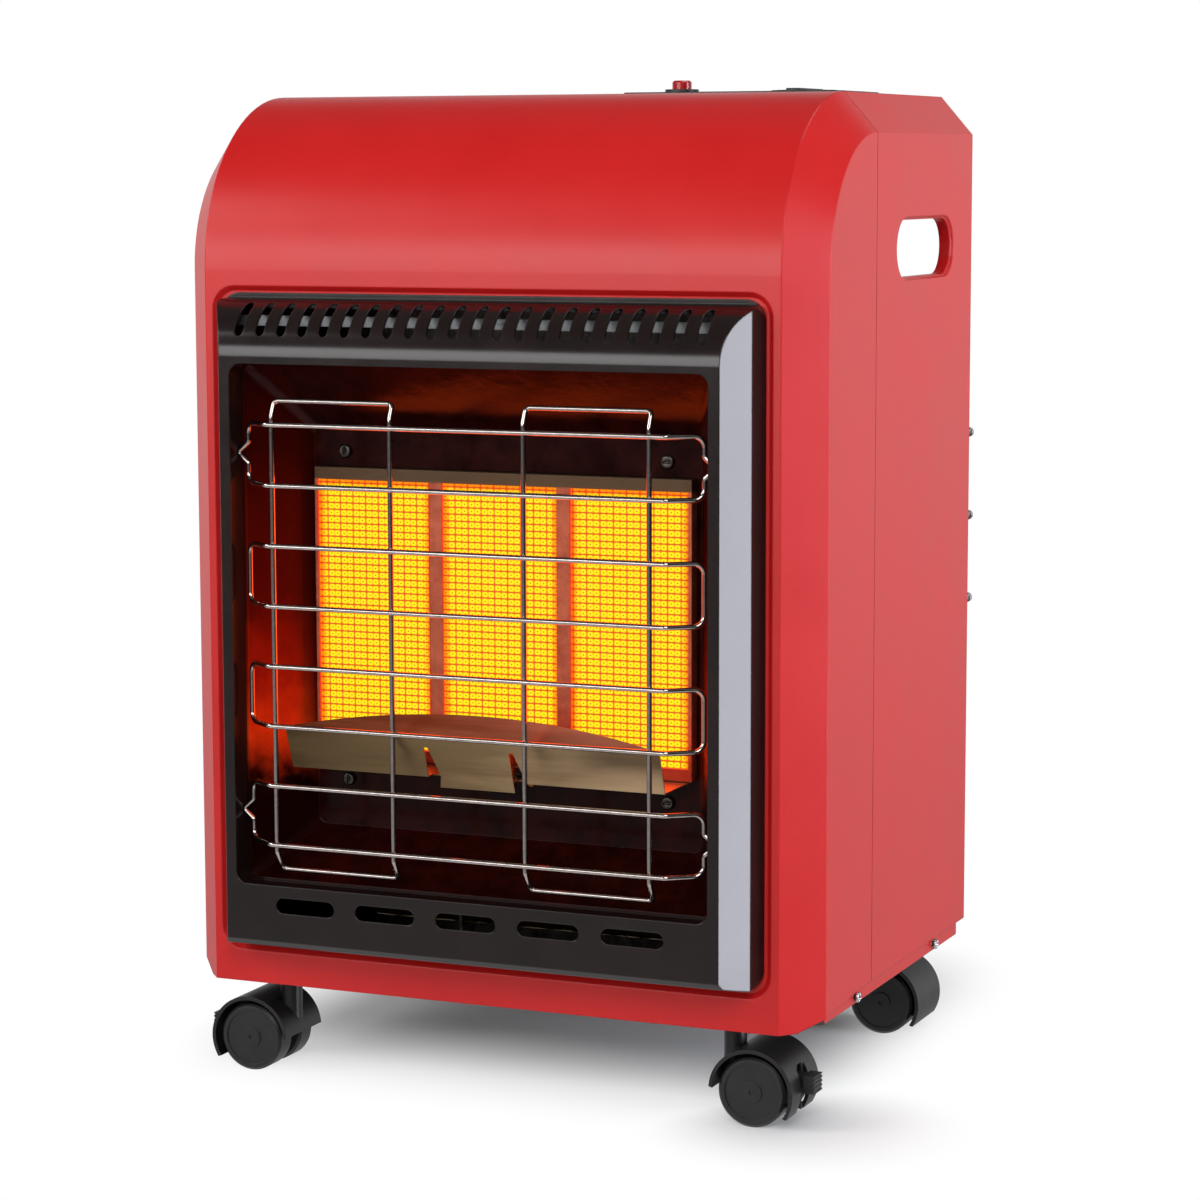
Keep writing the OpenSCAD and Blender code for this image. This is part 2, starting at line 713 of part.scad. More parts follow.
module burner_frame() color(steel) difference() {
    along_y(burner_y, frame_y) translate([0, (frame_low + frame_top) / 2])
        square([2 * burner_half, frame_top - frame_low], center = true);
    for (i = [0:2]) {
        translate([plaque_x(i), 0, plaque_mid]) {
            along_y(burner_y - 1, burner_y + 5) square([plaque_w - 2, plaque_h - 2], center = true);
            along_y(burner_y + 1.5, frame_y + 1)
                square([plaque_w + 2 * fit_gap, plaque_h + 2 * fit_gap], center = true);
        }
    }
}

// Ceramic plaque, with a raised plain border around its perforated field
module plaque(i) color("#f0d9c8") translate([plaque_x(i), 0, plaque_mid]) difference() {
    along_y(burner_y + 1.8, burner_y + 1.8 + plaque_t) square([plaque_w, plaque_h], center = true);
    along_y(burner_y + 1, burner_y + 2.4) square([plaque_w - 10, plaque_h - 10], center = true);
}

// Chamber behind a plaque with its mixing tube
module burner(i) color(steel) translate([plaque_x(i), 0, 0]) difference() {
    union() {
        translate([0, 0, plaque_mid]) {
            along_y(frame_y + fit_gap, frame_y + fit_gap + 1)
                square([plaque_w + 6, plaque_h + 8], center = true);
            tapered_plug(plaque_w - 4, plaque_h - 6, 9, 5, frame_y + 1, frame_y + chamber_d);
        }
        translate([0, mixer_y + 8, mixer_low]) {
            cylinder(d = mixer_d, h = plaque_low + 20 - mixer_low);
            cylinder(d1 = mixer_d + 8, d2 = mixer_d, h = 9);
        }
    }
    translate([0, mixer_y + 8, mixer_low - 1]) cylinder(d = mixer_d - 2, h = plaque_low + 10 - mixer_low);
    translate([0, mixer_y + 8, mixer_low - eps]) cylinder(d1 = mixer_d + 6, d2 = mixer_d - 2, h = 9);
    translate([0, 0, plaque_mid])
        tapered_plug(plaque_w - 6, plaque_h - 8, 8, 5, frame_y - 1, frame_y + chamber_d - 1);
}

pipe_y = mixer_y + 8;
manifold_x0 = plaque_x(0) - 18;
manifold_x1 = plaque_x(2) + 24;

module manifold() color(brass) difference() {
    union() {
        translate([manifold_x0, pipe_y, manifold_z]) rotate([0, 90, 0])
            cylinder(d = manifold_d, h = manifold_x1 - manifold_x0);
        for (i = [0:2]) translate([plaque_x(i), pipe_y, manifold_z]) hex(12, manifold_d / 2 + 3);
        translate([manifold_x1, pipe_y, manifold_z]) rotate([0, 90, 0]) hex(17, 9);
    }
    for (i = [0:2]) translate([plaque_x(i), pipe_y, manifold_z + 3]) cylinder(d = 6 + 2 * fit_gap, h = 12);
    translate([manifold_x0 + 3, pipe_y, manifold_z]) rotate([0, 90, 0])
        cylinder(d = manifold_d - 4, h = manifold_x1 - manifold_x0);
    translate([manifold_x1 - 4, pipe_y, manifold_z]) rotate([0, 90, 0]) cylinder(d = 8 + 2 * fit_gap, h = 20);
}

module injectors() color(brass) for (i = [0:2])
    translate([plaque_x(i), pipe_y, manifold_z + manifold_d / 2 + 3]) difference() {
    union() {
        translate([0, 0, -5]) cylinder(d = 6, h = 6);
        translate([0, 0, fit_gap]) hex(9, 5);
        translate([0, 0, 5]) cylinder(d1 = 7, d2 = 5, h = 5);
    }
    translate([0, 0, -6]) cylinder(d = 2, h = 20);
}

module manifold_bracket() color(steel) for (x = [plaque_x(0) + 40, plaque_x(2) - 40])
    translate([x, pipe_y, 0]) difference() {
    union() {
        translate([-8, -12, body_base]) cube([16, 24, 1.5]);
        translate([-1, -9, body_base]) cube([2, 18, manifold_z - body_base + 10]);
    }
    translate([-5, 0, manifold_z]) rotate([0, 90, 0]) cylinder(d = manifold_d + 2 * fit_gap, h = 10);
}

// ---------------------------------------------------------------- deflector and pilot

shelf_z = frame_low - 1.2;
lip_y = front - 14;
fold_y = lip_y - deflector_lean;
fold_z = shelf_z + deflector_h;
deflector_l = 2 * (opening_half - deflector_side);
tab_half = 24;
plate = 0.8;

module deflector() color("#77705a") difference() {
    union() {
        // front plate, leaning forwards, with its middle tab reaching lower
        along_x(-deflector_l / 2, deflector_l / 2) polygon([[lip_y, shelf_z], [lip_y - plate, shelf_z],
            [fold_y - plate, fold_z], [fold_y, fold_z]]);
        along_x(-tab_half, tab_half) polygon([[lip_y + 2, shelf_z - 6], [lip_y + 2 - plate, shelf_z - 6],
            [fold_y - plate, fold_z], [fold_y, fold_z]]);
        // shelf back to the burner frame
        translate([-deflector_l / 2, lip_y - plate, shelf_z])
            cube([deflector_l, burner_y + 8 - lip_y, plate]);
        // arched flap leaning back over the flames
        translate([0, fold_y - plate, fold_z]) rotate([-flap_angle, 0, 0]) intersection() {
            sagitta_r = (deflector_l * deflector_l / 4 + flap_rise * flap_rise) / (2 * flap_rise);
            along_y(0, plate) translate([0, flap_rise - sagitta_r]) circle(r = sagitta_r, $fn = 256);
            translate([-deflector_l / 2, -1, -0.2]) cube([deflector_l, 3, flap_rise + 1]);
        }
    }
    // slits that part the tab from the wings
    for (s = [-1, 1]) translate([s * (tab_half + 2.5), 0, shelf_z - 8]) along_y(fold_y - 5, lip_y + 5)
        polygon([[-2.5, 0], [2.5 + 4 + s * 3, 0], [2.5 + 3, 9], [0, 26], [-2.5, 26]]);
    // way for the pilot
    translate([-4, lip_y + 6, shelf_z - 1]) cube([40, 20, 4]);
}

pilot_x = 14;
pilot_y = lip_y + 16;

module pilot_bracket() color(steel) difference() {
    union() {
        translate([-8, burner_y - 6, shelf_z + plate]) cube([52, 5.7, 1]);
        translate([-8, pilot_y - 6, shelf_z + plate + 6]) cube([52, burner_y - pilot_y + 5.7, 1]);
        translate([-8, burner_y - 1.3, shelf_z + plate]) cube([52, 1, 7]);
    }
    for (p = pilot_holes()) translate([p[0], p[1], shelf_z]) cylinder(d = p[2] + 2 * fit_gap, h = 20);
}

function pilot_holes() = [[pilot_x, pilot_y, 8], [pilot_x + 14, pilot_y, 5], [pilot_x - 14, pilot_y, 5]];
bracket_top = shelf_z + plate + 7;

// Pilot burner with its hood; its pipe enters from behind
module pilot_burner() color(brass) translate([pilot_x, pilot_y, 0]) {
    difference() {
        translate([0, 0, shelf_z - 5.6]) cylinder(d = 8, h = bracket_top - shelf_z + 5.6 + fit_gap);
        translate([0, 0.6, pilot_run_z]) rotate([-90, 0, 0]) cylinder(d = pilot_pipe_d + 2 * fit_gap, h = 10);
    }
    translate([0, 0, bracket_top + fit_gap]) hex(11, 5);
    translate([0, 0, bracket_top + 5]) difference() {
        cylinder(d = 9, h = 9);
        translate([0, 0, 2]) cylinder(d = 6.5, h = 10);
        translate([-5, 0, 3]) cube([10, 6, 4]);
    }
}

module thermocouple() color(copper) translate([pilot_x + 14, pilot_y, 0]) {
    translate([0, 0, shelf_z - 4]) cylinder(d = 5, h = bracket_top - shelf_z + 4 + fit_gap);
    translate([0, 0, bracket_top + fit_gap]) cylinder(d = 7, h = 4);
    translate([0, 0, bracket_top + 4]) cylinder(d = 3.6, h = 12);
    translate([0, 0, bracket_top + 16]) sphere(d = 3.6);
}

module spark_electrode() {
    color("#e8e4da") translate([pilot_x - 14, pilot_y, 0]) {
        translate([0, 0, shelf_z - 5]) cylinder(d = 5, h = bracket_top - shelf_z + 11);
        translate([0, 0, bracket_top + fit_gap]) cylinder(d = 7, h = 3);
        bent([[0, 0, bracket_top + 2], [0, 0, bracket_top + 12], [8, 0, bracket_top + 15]], 2, 1.6);
    }
}

// ---------------------------------------------------------------- guard

// Outward kink of a loop's end, whose tip rests in the surround
hook_x = opening_half + 1;
function guard_hook(s, z) = [
    [s * guard_half, loop_end_y, z - s * 6],
    [s * hook_x, loop_end_y, z],
    [s * guard_half, loop_end_y, z + s * 6]];

// One closed wire loop; the first and last one have hooks that plug into the surround
module guard_loop(i) color("#d8d6d2") {
    z0 = wire_low + 2 * i * wire_pitch;
    z1 = z0 + wire_pitch;
    zm = (z0 + z1) / 2;
    bend = guard_half - guard_return;
    hooked = i == 0 || i == guard_loops - 1;
    corner = guard_corner;
    hook_radii = [2.2, 1.8, 2.2];
    end_radii = hooked ? concat(corner, hook_radii, corner) : [corner, corner];
    points = concat(
        [[-bend, loop_y, z0], [bend, loop_y, z0], [guard_half, loop_end_y, z0]],
        hooked ? guard_hook(1, zm) : [],
        [[guard_half, loop_end_y, z1], [bend, loop_y, z1],
            [-bend, loop_y, z1], [-guard_half, loop_end_y, z1]],
        hooked ? guard_hook(-1, zm) : [],
        [[-guard_half, loop_end_y, z0]]);
    bent(points, concat([4, 4], end_radii, [4, 4], end_radii), wire_d, closed = true);
}

// Two upright loops welded behind the horizontal ones, their ends bent back
module guard_uprights() color("#d8d6d2") for (s = [-1, 1]) {
    x0 = upright_shift + s * upright_x - upright_w / 2;
    x1 = x0 + upright_w;
    top = upright_top;
    bent([[x0, upright_y, upright_low + 11], [x0, upright_y, top - 9], [x0, upright_y + 4, top],
        [x1, upright_y + 4, top], [x1, upright_y, top - 9], [x1, upright_y, upright_low + 11],
        [x1, upright_y + 7, upright_low], [x0, upright_y + 7, upright_low]], 3, wire_d, closed = true);
}

// ---------------------------------------------------------------- controls

module control_plate() color(plastic) difference() {
    union() {
        translate([plate_x, control_y, body_top]) linear_extrude(plate_t) rounded(plate_w, plate_l, 10);
        // rib that drops into the casing's hole
        translate([plate_x, control_y, body_top - sheet - 2]) linear_extrude(sheet + 2 + eps) difference() {
            rounded(plate_w - 2 * (plate_lip + fit_gap), plate_l - 2 * (plate_lip + fit_gap), 8);
            rounded(plate_w - 2 * (plate_lip + fit_gap) - 3, plate_l - 2 * (plate_lip + fit_gap) - 3, 6.5);
        }
        translate([knob_x, control_y, dish_z - plate_t])
            cylinder(r = dish_r + plate_t, h = body_top - dish_z + plate_t, $fn = 96);
    }
    translate([knob_x, control_y, dish_z]) cylinder(r = dish_r, h = 60, $fn = 96);
    translate([knob_x, control_y, dish_z - 10]) cylinder(d = spindle_d + 8, h = 20);
    translate([button_x, control_y, body_top - 20]) cylinder(d = igniter_d + 2 * fit_gap, h = 40);
    for (s = [-1, 1]) translate([knob_x + s * 17, control_y, dish_z - 10]) cylinder(d = 4.6, h = 20);
}

// Brass valve body with its magnet housing and ports
module gas_valve() color(brass) difference() {
    top = valve_top - fit_gap;
    union() {
        translate([knob_x - 22, control_y - 13, top - 26]) cube([44, 26, 26]);
        translate([knob_x, control_y, top - 1]) cylinder(d = spindle_d + 7, h = plate_t + fit_gap + 1);
        translate([knob_x, control_y, top - 42]) cylinder(d = 22, h = 17);
        translate([knob_x - 22, control_y, top - 15]) rotate([0, -90, 0]) cylinder(d = 16, h = 16);
        translate([knob_x + 22 - eps, control_y, top - 15]) rotate([0, 90, 0]) hex(14, 8);
        translate([knob_x, control_y + 13 - eps, top - 15]) rotate([-90, 0, 0]) hex(14, 9);
    }
    translate([knob_x, control_y, spindle_low - knob_travel - 1])
        cylinder(d = spindle_d + 2 * run_gap, h = 60);
    translate([knob_x, control_y, rod_low - knob_travel - 1]) cylinder(d = rod_d + 2 * run_gap, h = 30);
    translate([knob_x + 15, control_y, top - 15]) rotate([0, 90, 0]) cylinder(d = 8 + 2 * fit_gap, h = 20);
    translate([knob_x, control_y + 8, top - 15]) rotate([-90, 0, 0]) cylinder(d = 10 + 2 * fit_gap, h = 20);
    for (s = [-1, 1]) translate([knob_x + s * 17, control_y, top - 8]) cylinder(d = 3.4, h = 20);
}

rod_d = 5;
spindle_low = valve_top - 12;
spindle_top = knob_low + 12;
rod_low = spindle_low - 20;
flat_x = spindle_d / 2 - 1.5;

// Sprung rod that the spindle pushes down onto the valve's magnet
module push_rod() color(steel) translate([knob_x, control_y, rod_low])
    cylinder(d = rod_d, h = spindle_low - rod_low - run_gap);

module valve_spindle() color(steel) difference() {
    translate([knob_x, control_y, spindle_low]) cylinder(d = spindle_d, h = spindle_top - spindle_low);
    // flat that drives the knob
    translate([knob_x + flat_x, control_y - 10, knob_low + 1]) cube([10, 20, 40]);
}

module knob() color(plastic) difference() {
    union() {
        translate([knob_x, control_y, knob_low]) cylinder(d = knob_d, h = knob_h - 3);
        translate([knob_x, control_y, knob_top - 3 - eps]) cylinder(d1 = knob_d, d2 = knob_d - 5, h = 2);
        translate([knob_x, control_y, knob_low]) cylinder(d = knob_d - 12, h = knob_h - 1.5);
        // grip bar with its pointer
        intersection() {
            translate([knob_x - 4, control_y - knob_d / 2 + 1, knob_low]) cube([8, knob_d - 2, knob_h]);
            translate([knob_x, control_y, knob_low]) cylinder(d = knob_d - 2, h = knob_h);
        }
    }
    for (a = [0:15:359]) translate([knob_x, control_y, knob_low - 1]) rotate(a)
        translate([knob_d / 2 + 0.6, 0, 0]) cylinder(d = 3, h = knob_h - 3, $fn = 16);
    difference() {
        translate([knob_x, control_y, knob_low - 1])
            cylinder(d = spindle_d + 2 * run_gap, h = spindle_top - knob_low + 1.3);
        translate([knob_x + flat_x + run_gap, control_y - 10, knob_low + 1.2]) cube([10, 20, 40]);
    }
    // hollow underside
    difference() {
        translate([knob_x, control_y, knob_low - 1]) cylinder(d = knob_d - 8, h = 10);
        translate([knob_x, control_y, knob_low - 2]) cylinder(d = spindle_d + 6, h = 20);
    }
}

igniter_d = button_d + 4.5;
igniter_l = 42;
igniter_low = body_top - igniter_l;

// Igniter body hung in the control plate by its bezel and nut
module piezo_igniter() color(plastic) difference() {
    union() {
        translate([button_x, control_y, igniter_low])
            cylinder(d = igniter_d, h = body_top + plate_t + 1 - igniter_low);
        translate([button_x, control_y, body_top + plate_t + fit_gap]) cylinder(d = igniter_d + 4, h = 2);
        translate([button_x, control_y, body_top - 6]) hex(igniter_d + 7, 6 - fit_gap);
        translate([button_x, control_y, igniter_low - 8]) cylinder(d = 7, h = 9);
    }
    translate([button_x, control_y, button_low - button_travel - 1])
        cylinder(d = button_d + 2 * move_gap, h = 60);
}

button_low = body_top - 18;

module igniter_button() color("#b01a1a") translate([button_x, control_y, 0]) {
    translate([0, 0, button_low]) cylinder(d = button_d, h = button_top - 1 - button_low);
    translate([0, 0, button_top - 1 - eps]) cylinder(d1 = button_d, d2 = button_d - 2, h = 1 + eps);
}

// ---------------------------------------------------------------- gas train

// Inlet fitting through the back panel; the hose screws onto its free end
module gas_inlet() color(brass) translate([inlet_x, back, inlet_z]) rotate([-90, 0, 0]) difference() {
    union() {
        translate([0, 0, fit_gap + sheet + fit_gap]) hex(19, 5);
        translate([0, 0, -14]) cylinder(r = inlet_r, h = 14 + 6.5 + inlet_l);
        translate([0, 0, -7]) hex(19, 7);
    }
    translate([0, 0, -15]) cylinder(d = 10 + 2 * fit_gap, h = 12);
    translate([0, 0, -5]) cylinder(d = 6, h = 40);
}

valve_port_z = valve_top - fit_gap - 15;
supply_drop_x = inlet_x - 40;
burner_drop_x = knob_x + 42;
pilot_drop_x = button_x + igniter_d / 2 + 9.5;
pilot_pipe_d = 4;
pilot_run_z = shelf_z - 3;
pilot_bend_x = (plaque_w + plaque_gap) / 2 + 20;
pilot_bend_y = pilot_y + 14;
// where the pilot pipe's run forwards crosses a depth
function pilot_run_x(y) =
    pilot_drop_x + (pilot_bend_x - pilot_drop_x) * (control_y - y) / (control_y - pilot_bend_y);

module supply_pipe() color(copper) bent([
    [inlet_x, back - 4, inlet_z], [inlet_x, back - 34, inlet_z], [supply_drop_x, back - 34, inlet_z],
    [supply_drop_x, back - 34, valve_port_z], [knob_x, back - 34, valve_port_z],
    [knob_x, control_y + 12, valve_port_z]], 12, 10);

module burner_pipe() color(copper) bent([
    [knob_x + 20, control_y, valve_port_z], [burner_drop_x, control_y, valve_port_z],
    [burner_drop_x, control_y, manifold_z], [burner_drop_x, pipe_y, manifold_z],
    [manifold_x1 - 2, pipe_y, manifold_z]], 10, 8);

module pilot_pipe() color("#c8c6c0") bent([
    [knob_x - 38 - run_gap, control_y, valve_port_z], [pilot_drop_x, control_y, valve_port_z],
    [pilot_drop_x, control_y, pilot_run_z], [pilot_bend_x, pilot_bend_y, pilot_run_z],
    [pilot_x, pilot_bend_y, pilot_run_z], [pilot_x, pilot_y + 1, pilot_run_z]], 7, pilot_pipe_d);

// Switch that shuts the gas when the heater tips
switch_foot = [50, 30, 2];
switch_case = [36, 24, 26];
switch_inset = 32;
switch_back = 70;

module tip_switch() color(plastic)
    translate([-caster_x + switch_inset, back - switch_back, body_base + fit_gap]) {
        translate([-switch_foot[0] / 2, -switch_foot[1] / 2, 0]) cube(switch_foot);
        translate([-switch_case[0] / 2, -switch_case[1] / 2, switch_foot[2] - eps]) cube(switch_case);
        translate([0, 0, switch_foot[2] + switch_case[2] - eps]) cylinder(d = 12, h = 4);
    }

// ---------------------------------------------------------------- casters

module at_caster(sx, sy) translate([sx * caster_x, mid + sy * caster_y, 0])
    mirror([sx < 0 ? 1 : 0, 0, 0]) children();

// Cylinder across a caster, centred on it
module across(r, w) rotate([90, 0, 0]) cylinder(r = r, h = w, center = true);

module caster_sockets() color(steel) for (c = casters)
    translate([c[1] * caster_x, mid + c[2] * caster_y, 0]) difference() {
    translate([0, 0, body_base + fit_gap]) union() {
        cylinder(d = 26, h = 2);
        cylinder(d = socket_d, h = 12);
    }
    cylinder(d = stem_d + 2 * run_gap, h = body_base + 10);
}

module caster_stems() color(steel) for (c = casters) translate([c[1] * caster_x, mid + c[2] * caster_y, 0]) {
    translate([0, 0, hood_top - 14]) cylinder(d = stem_d, h = body_base + 9 - hood_top + 14);
    translate([0, 0, hood_top + fit_gap]) cylinder(d = stem_d + 4, h = 2);
}

// Hood of a twin-wheel caster: a band over both wheels, a middle web and a stem boss
module hood(sx, sy, brake) color(plastic) at_caster(sx, sy) difference() {
    union() {
        translate([caster_trail, 0, wheel_r]) difference() {
            across(hood_r, caster_w);
            for (s = [-1, 1]) translate([0, s * (caster_w / 2 + web_w / 2), 0])
                across(hood_r - hood_t, caster_w);
            // opening below the band
            rotate([0, 18, 0]) translate([-2 * hood_r, -caster_w, -2 * hood_r - 6])
                cube([4 * hood_r, 2 * caster_w, 2 * hood_r]);
        }
        translate([caster_trail, 0, wheel_r]) across(8, web_w);
        translate([0, 0, wheel_r + 6]) cylinder(d = 13, h = hood_top - wheel_r - 6);
    }
    translate([0, 0, hood_top - 15]) cylinder(d = stem_d + 2 * run_gap, h = 30);
    translate([caster_trail, 0, wheel_r]) {
        across(axle_d / 2 + run_gap, caster_w);
        for (s = [-1, 1]) translate([0, s * (wheel_w / 2 + web_w / 2 + move_gap), 0])
            across(wheel_r + 1, wheel_w + 2 * move_gap - 0.01);
    }
    if (brake) translate([caster_trail, 0, wheel_r]) {
        translate([9, -brake_w / 2 - fit_gap, -14]) cube([40, brake_w + 2 * fit_gap, 28]);
        translate([hood_r - 4, -brake_w / 2 - 4, -14]) cube([40, brake_w + 8, 28]);
        translate([brake_x, 0, brake_z]) across(brake_pin_d / 2 + run_gap, web_w + 2);
    }
}

disc_sink = 0.7;

module wheels(sx, sy) color("#2c2b2d") at_caster(sx, sy) for (s = [-1, 1])
    translate([caster_trail, s * (web_w / 2 + move_gap + wheel_w / 2), wheel_r]) difference() {
        union() {
            across(wheel_r, wheel_w - 3);
            across(wheel_r - 1.5, wheel_w);
            for (t = [-1, 1]) translate([0, t * (wheel_w / 2 - 0.75), 0]) rotate([-90 * t, 0, 0])
                cylinder(r1 = wheel_r, r2 = wheel_r - 1.5, h = 1.5, center = true);
        }
        translate([0, -s * 3, 0]) across(axle_d / 2 + 0.02, wheel_w);
        // sunk disc round the hub, with a dimple in its middle
        translate([0, s * wheel_w / 2, 0]) {
            difference() {
                across(wheel_r - 4, 2 * disc_sink);
                across(6, 3 * disc_sink);
            }
            across(1.6, 2 * disc_sink);
        }
    }

module axle(sx, sy) color(steel) at_caster(sx, sy)
    translate([caster_trail, 0, wheel_r]) across(axle_d / 2, web_w + 2 * wheel_w - 8);

brake_w = web_w - 3;
brake_pin_d = 3;
brake_x = 14;
brake_z = 5;

// Foot lever that locks a front caster, turning on its own pin
module brake(sx, sy) color(plastic) at_caster(sx, sy) translate([caster_trail, 0, wheel_r]) difference() {
    union() {
        translate([brake_x, 0, brake_z]) across(4, brake_w);
        translate([brake_x, 0, brake_z]) across(brake_pin_d / 2, web_w - 0.4);
        translate([brake_x, -brake_w / 2, brake_z - 4]) cube([hood_r + 2 - brake_x, brake_w, 8]);
        translate([hood_r + 0.6, -brake_w / 2 - 3.5, brake_z - 6]) cube([7, brake_w + 7, 10]);
    }
    for (i = [0:3]) translate([hood_r + 7, -20, brake_z - 5 + 2.4 * i]) cube([2, 40, 1.2]);
}

// ---------------------------------------------------------------- assembly

front_casing();
rear_casing();
base_plate();
back_panel();
heat_shield();
surround();
hanger_strip();
firebox();
burner_frame();
plaque(0);  // plaque_left
plaque(1);  // plaque_middle
plaque(2);  // plaque_right
burner(0);  // burner_left
burner(1);  // burner_middle
burner(2);  // burner_right
manifold();
manifold_bracket();
injectors();
deflector();
pilot_bracket();
pilot_burner();
thermocouple();
spark_electrode();
guard_loop(0);  // guard_loop_1
guard_loop(1);  // guard_loop_2
guard_loop(2);  // guard_loop_3
guard_loop(3);  // guard_loop_4
guard_uprights();
control_plate();
gas_valve();
push_rod();
valve_spindle();
knob();
piezo_igniter();
igniter_button();
gas_inlet();
supply_pipe();
burner_pipe();
pilot_pipe();
tip_switch();
caster_sockets();
caster_stems();
hood(-1, -1, true);  // hood_fl
hood(1, -1, true);  // hood_fr
hood(-1, 1, false);  // hood_rl
hood(1, 1, false);  // hood_rr
wheels(-1, -1);  // wheels_fl
wheels(1, -1);  // wheels_fr
wheels(-1, 1);  // wheels_rl
wheels(1, 1);  // wheels_rr
axle(-1, -1);  // axle_fl
axle(1, -1);  // axle_fr
axle(-1, 1);  // axle_rl
axle(1, 1);  // axle_rr
brake(-1, -1);  // brake_fl
brake(1, -1);  // brake_fr
casing_screws();
back_screws();
firebox_screws();
rear_studs();
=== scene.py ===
# %% [markdown]
# # Dressing a portable propane heater
#
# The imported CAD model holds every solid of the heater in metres. This lesson gives each
# solid the finish of the real one, adds the small things that a CAD solid leaves out,
# and sets up the studio. Everything stays in the CAD model's own frame, so nothing has
# to be fitted by eye.

import math

import bmesh
import bpy
from mathutils import Matrix, Vector


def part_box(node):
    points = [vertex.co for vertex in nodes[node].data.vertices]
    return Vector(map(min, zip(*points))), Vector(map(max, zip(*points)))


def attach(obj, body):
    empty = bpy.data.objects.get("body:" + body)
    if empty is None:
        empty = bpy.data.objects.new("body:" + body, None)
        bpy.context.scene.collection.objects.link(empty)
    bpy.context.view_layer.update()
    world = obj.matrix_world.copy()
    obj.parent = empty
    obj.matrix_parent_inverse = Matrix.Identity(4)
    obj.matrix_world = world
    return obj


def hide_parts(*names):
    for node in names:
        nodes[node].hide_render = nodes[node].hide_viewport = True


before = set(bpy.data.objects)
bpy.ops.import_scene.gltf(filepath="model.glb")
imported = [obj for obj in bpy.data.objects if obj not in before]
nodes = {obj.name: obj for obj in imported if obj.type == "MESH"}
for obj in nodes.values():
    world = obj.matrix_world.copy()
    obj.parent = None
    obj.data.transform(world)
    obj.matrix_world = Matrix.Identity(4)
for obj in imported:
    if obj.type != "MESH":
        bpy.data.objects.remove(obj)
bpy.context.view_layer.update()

# %% [markdown]
# ## The camera
#
# A heater stands on the floor and is looked at from a little above. A constraint could
# aim the camera, but three angles say the same in plain numbers: the heading round the
# heater, the pitch down and a trace of roll. The lens is long, which keeps the upright
# edges almost parallel. The camera comes first, so that each later step can be looked
# at.

# %% Place the camera
HEADING, PITCH_DOWN, ROLL = (math.radians(a) for a in (23.28, 7.26, -0.14))
CAMERA_AT = Vector((0.8135, -1.8611, 0.5335))
FOCAL_PX, IMAGE_PX, SENSOR_MM = 3403.7, 1200, 36
NEAR, FAR = 0.05, 50


def camera_axes(heading, pitch, roll):
    """Right, up and back of a camera as the columns of a 3 by 3 matrix."""
    level = math.cos(pitch)
    right = Vector((math.cos(heading), math.sin(heading), 0))
    back = Vector((math.sin(heading) * level, -math.cos(heading) * level, math.sin(pitch)))
    up = back.cross(right)
    right, up = (
        right * math.cos(roll) + up * math.sin(roll),
        up * math.cos(roll) - right * math.sin(roll),
    )
    return Matrix((right, up, back)).transposed()


lens = bpy.data.cameras.new("studio_camera")
lens.sensor_width = SENSOR_MM
lens.lens = FOCAL_PX / IMAGE_PX * SENSOR_MM
lens.clip_start, lens.clip_end = NEAR, FAR
camera = bpy.data.objects.new("studio_camera", lens)
turn = camera_axes(HEADING, PITCH_DOWN, ROLL).to_4x4()
camera.matrix_world = Matrix.Translation(CAMERA_AT) @ turn
bpy.context.scene.collection.objects.link(camera)
bpy.context.scene.camera = camera
print("lens", round(lens.lens, 1), "mm")

# %% [markdown]
# ## Helpers for colours and nodes
#
# A finish is a node material. It could be wired by hand in the Shader Editor, but a
# script needs several lines for each node that way. So one function adds a node with
# its settings and links, and each finish below reads as a short recipe. Colours are
# written as they look on screen, and another function turns them into the linear
# numbers that light is reckoned in.


# %% Colour and node helpers
SMOOTH = {"interpolation_type": "SMOOTHSTEP"}
COLOURS = {"data_type": "RGBA"}


def linear(code):
    """An sRGB hex colour as linear red, green, blue and alpha."""
    channels = [int(code[i : i + 2], 16) / 255 for i in (1, 3, 5)]
    return (*[c / 12.92 if c <= 0.04045 else ((c + 0.055) / 1.055) ** 2.4 for c in channels], 1.0)


def add_node(owner, kind, settings=None, **inputs):
    """A node of that kind. An input is a value, or an output of another node to link.

    Inputs are named with _ for a space, or numbered as _0, _1. The setting "stops" lists
    a colour ramp's stops as (position, colour code).
    """
    tree = owner.node_tree
    node = tree.nodes.new(kind)
    for name, value in (settings or {}).items():
        if name == "stops":
            elements = node.color_ramp.elements
            while len(elements) < len(value):
                elements.new(0.5)
            for element, (position, code) in zip(elements, value):
                element.position, element.color = position, linear(code)
        else:
            setattr(node, name, value)
    for name, value in inputs.items():
        socket = node.inputs[int(name[1:]) if name[0] == "_" else name.replace("_", " ")]
        if isinstance(value, bpy.types.NodeSocket):
            tree.links.new(value, socket)
        else:
            socket.default_value = value
    return node


print("colour and node helpers ready")

# %% [markdown]
# ## Helpers for a finish
#
# Nothing real is one flat colour. A picture could carry the changes, but noise made by
# nodes has no seams and no pixels, and its size can be given in millimetres. So the
# usual finish here drifts between two tones and two degrees of gloss in blotches, while
# a finer grain tilts the surface a little. Edges of paint and metal are never sharp
# either, so a Bevel node rounds the normal there, and they catch the light.


# %% Helpers for a finish
NOISE_DETAIL, NOISE_ROUGHNESS = 3.0, 0.6
NOISE_LOW, NOISE_HIGH = 0.3, 0.7
GLOSSIEST, DULLEST = 0.95, 1.08


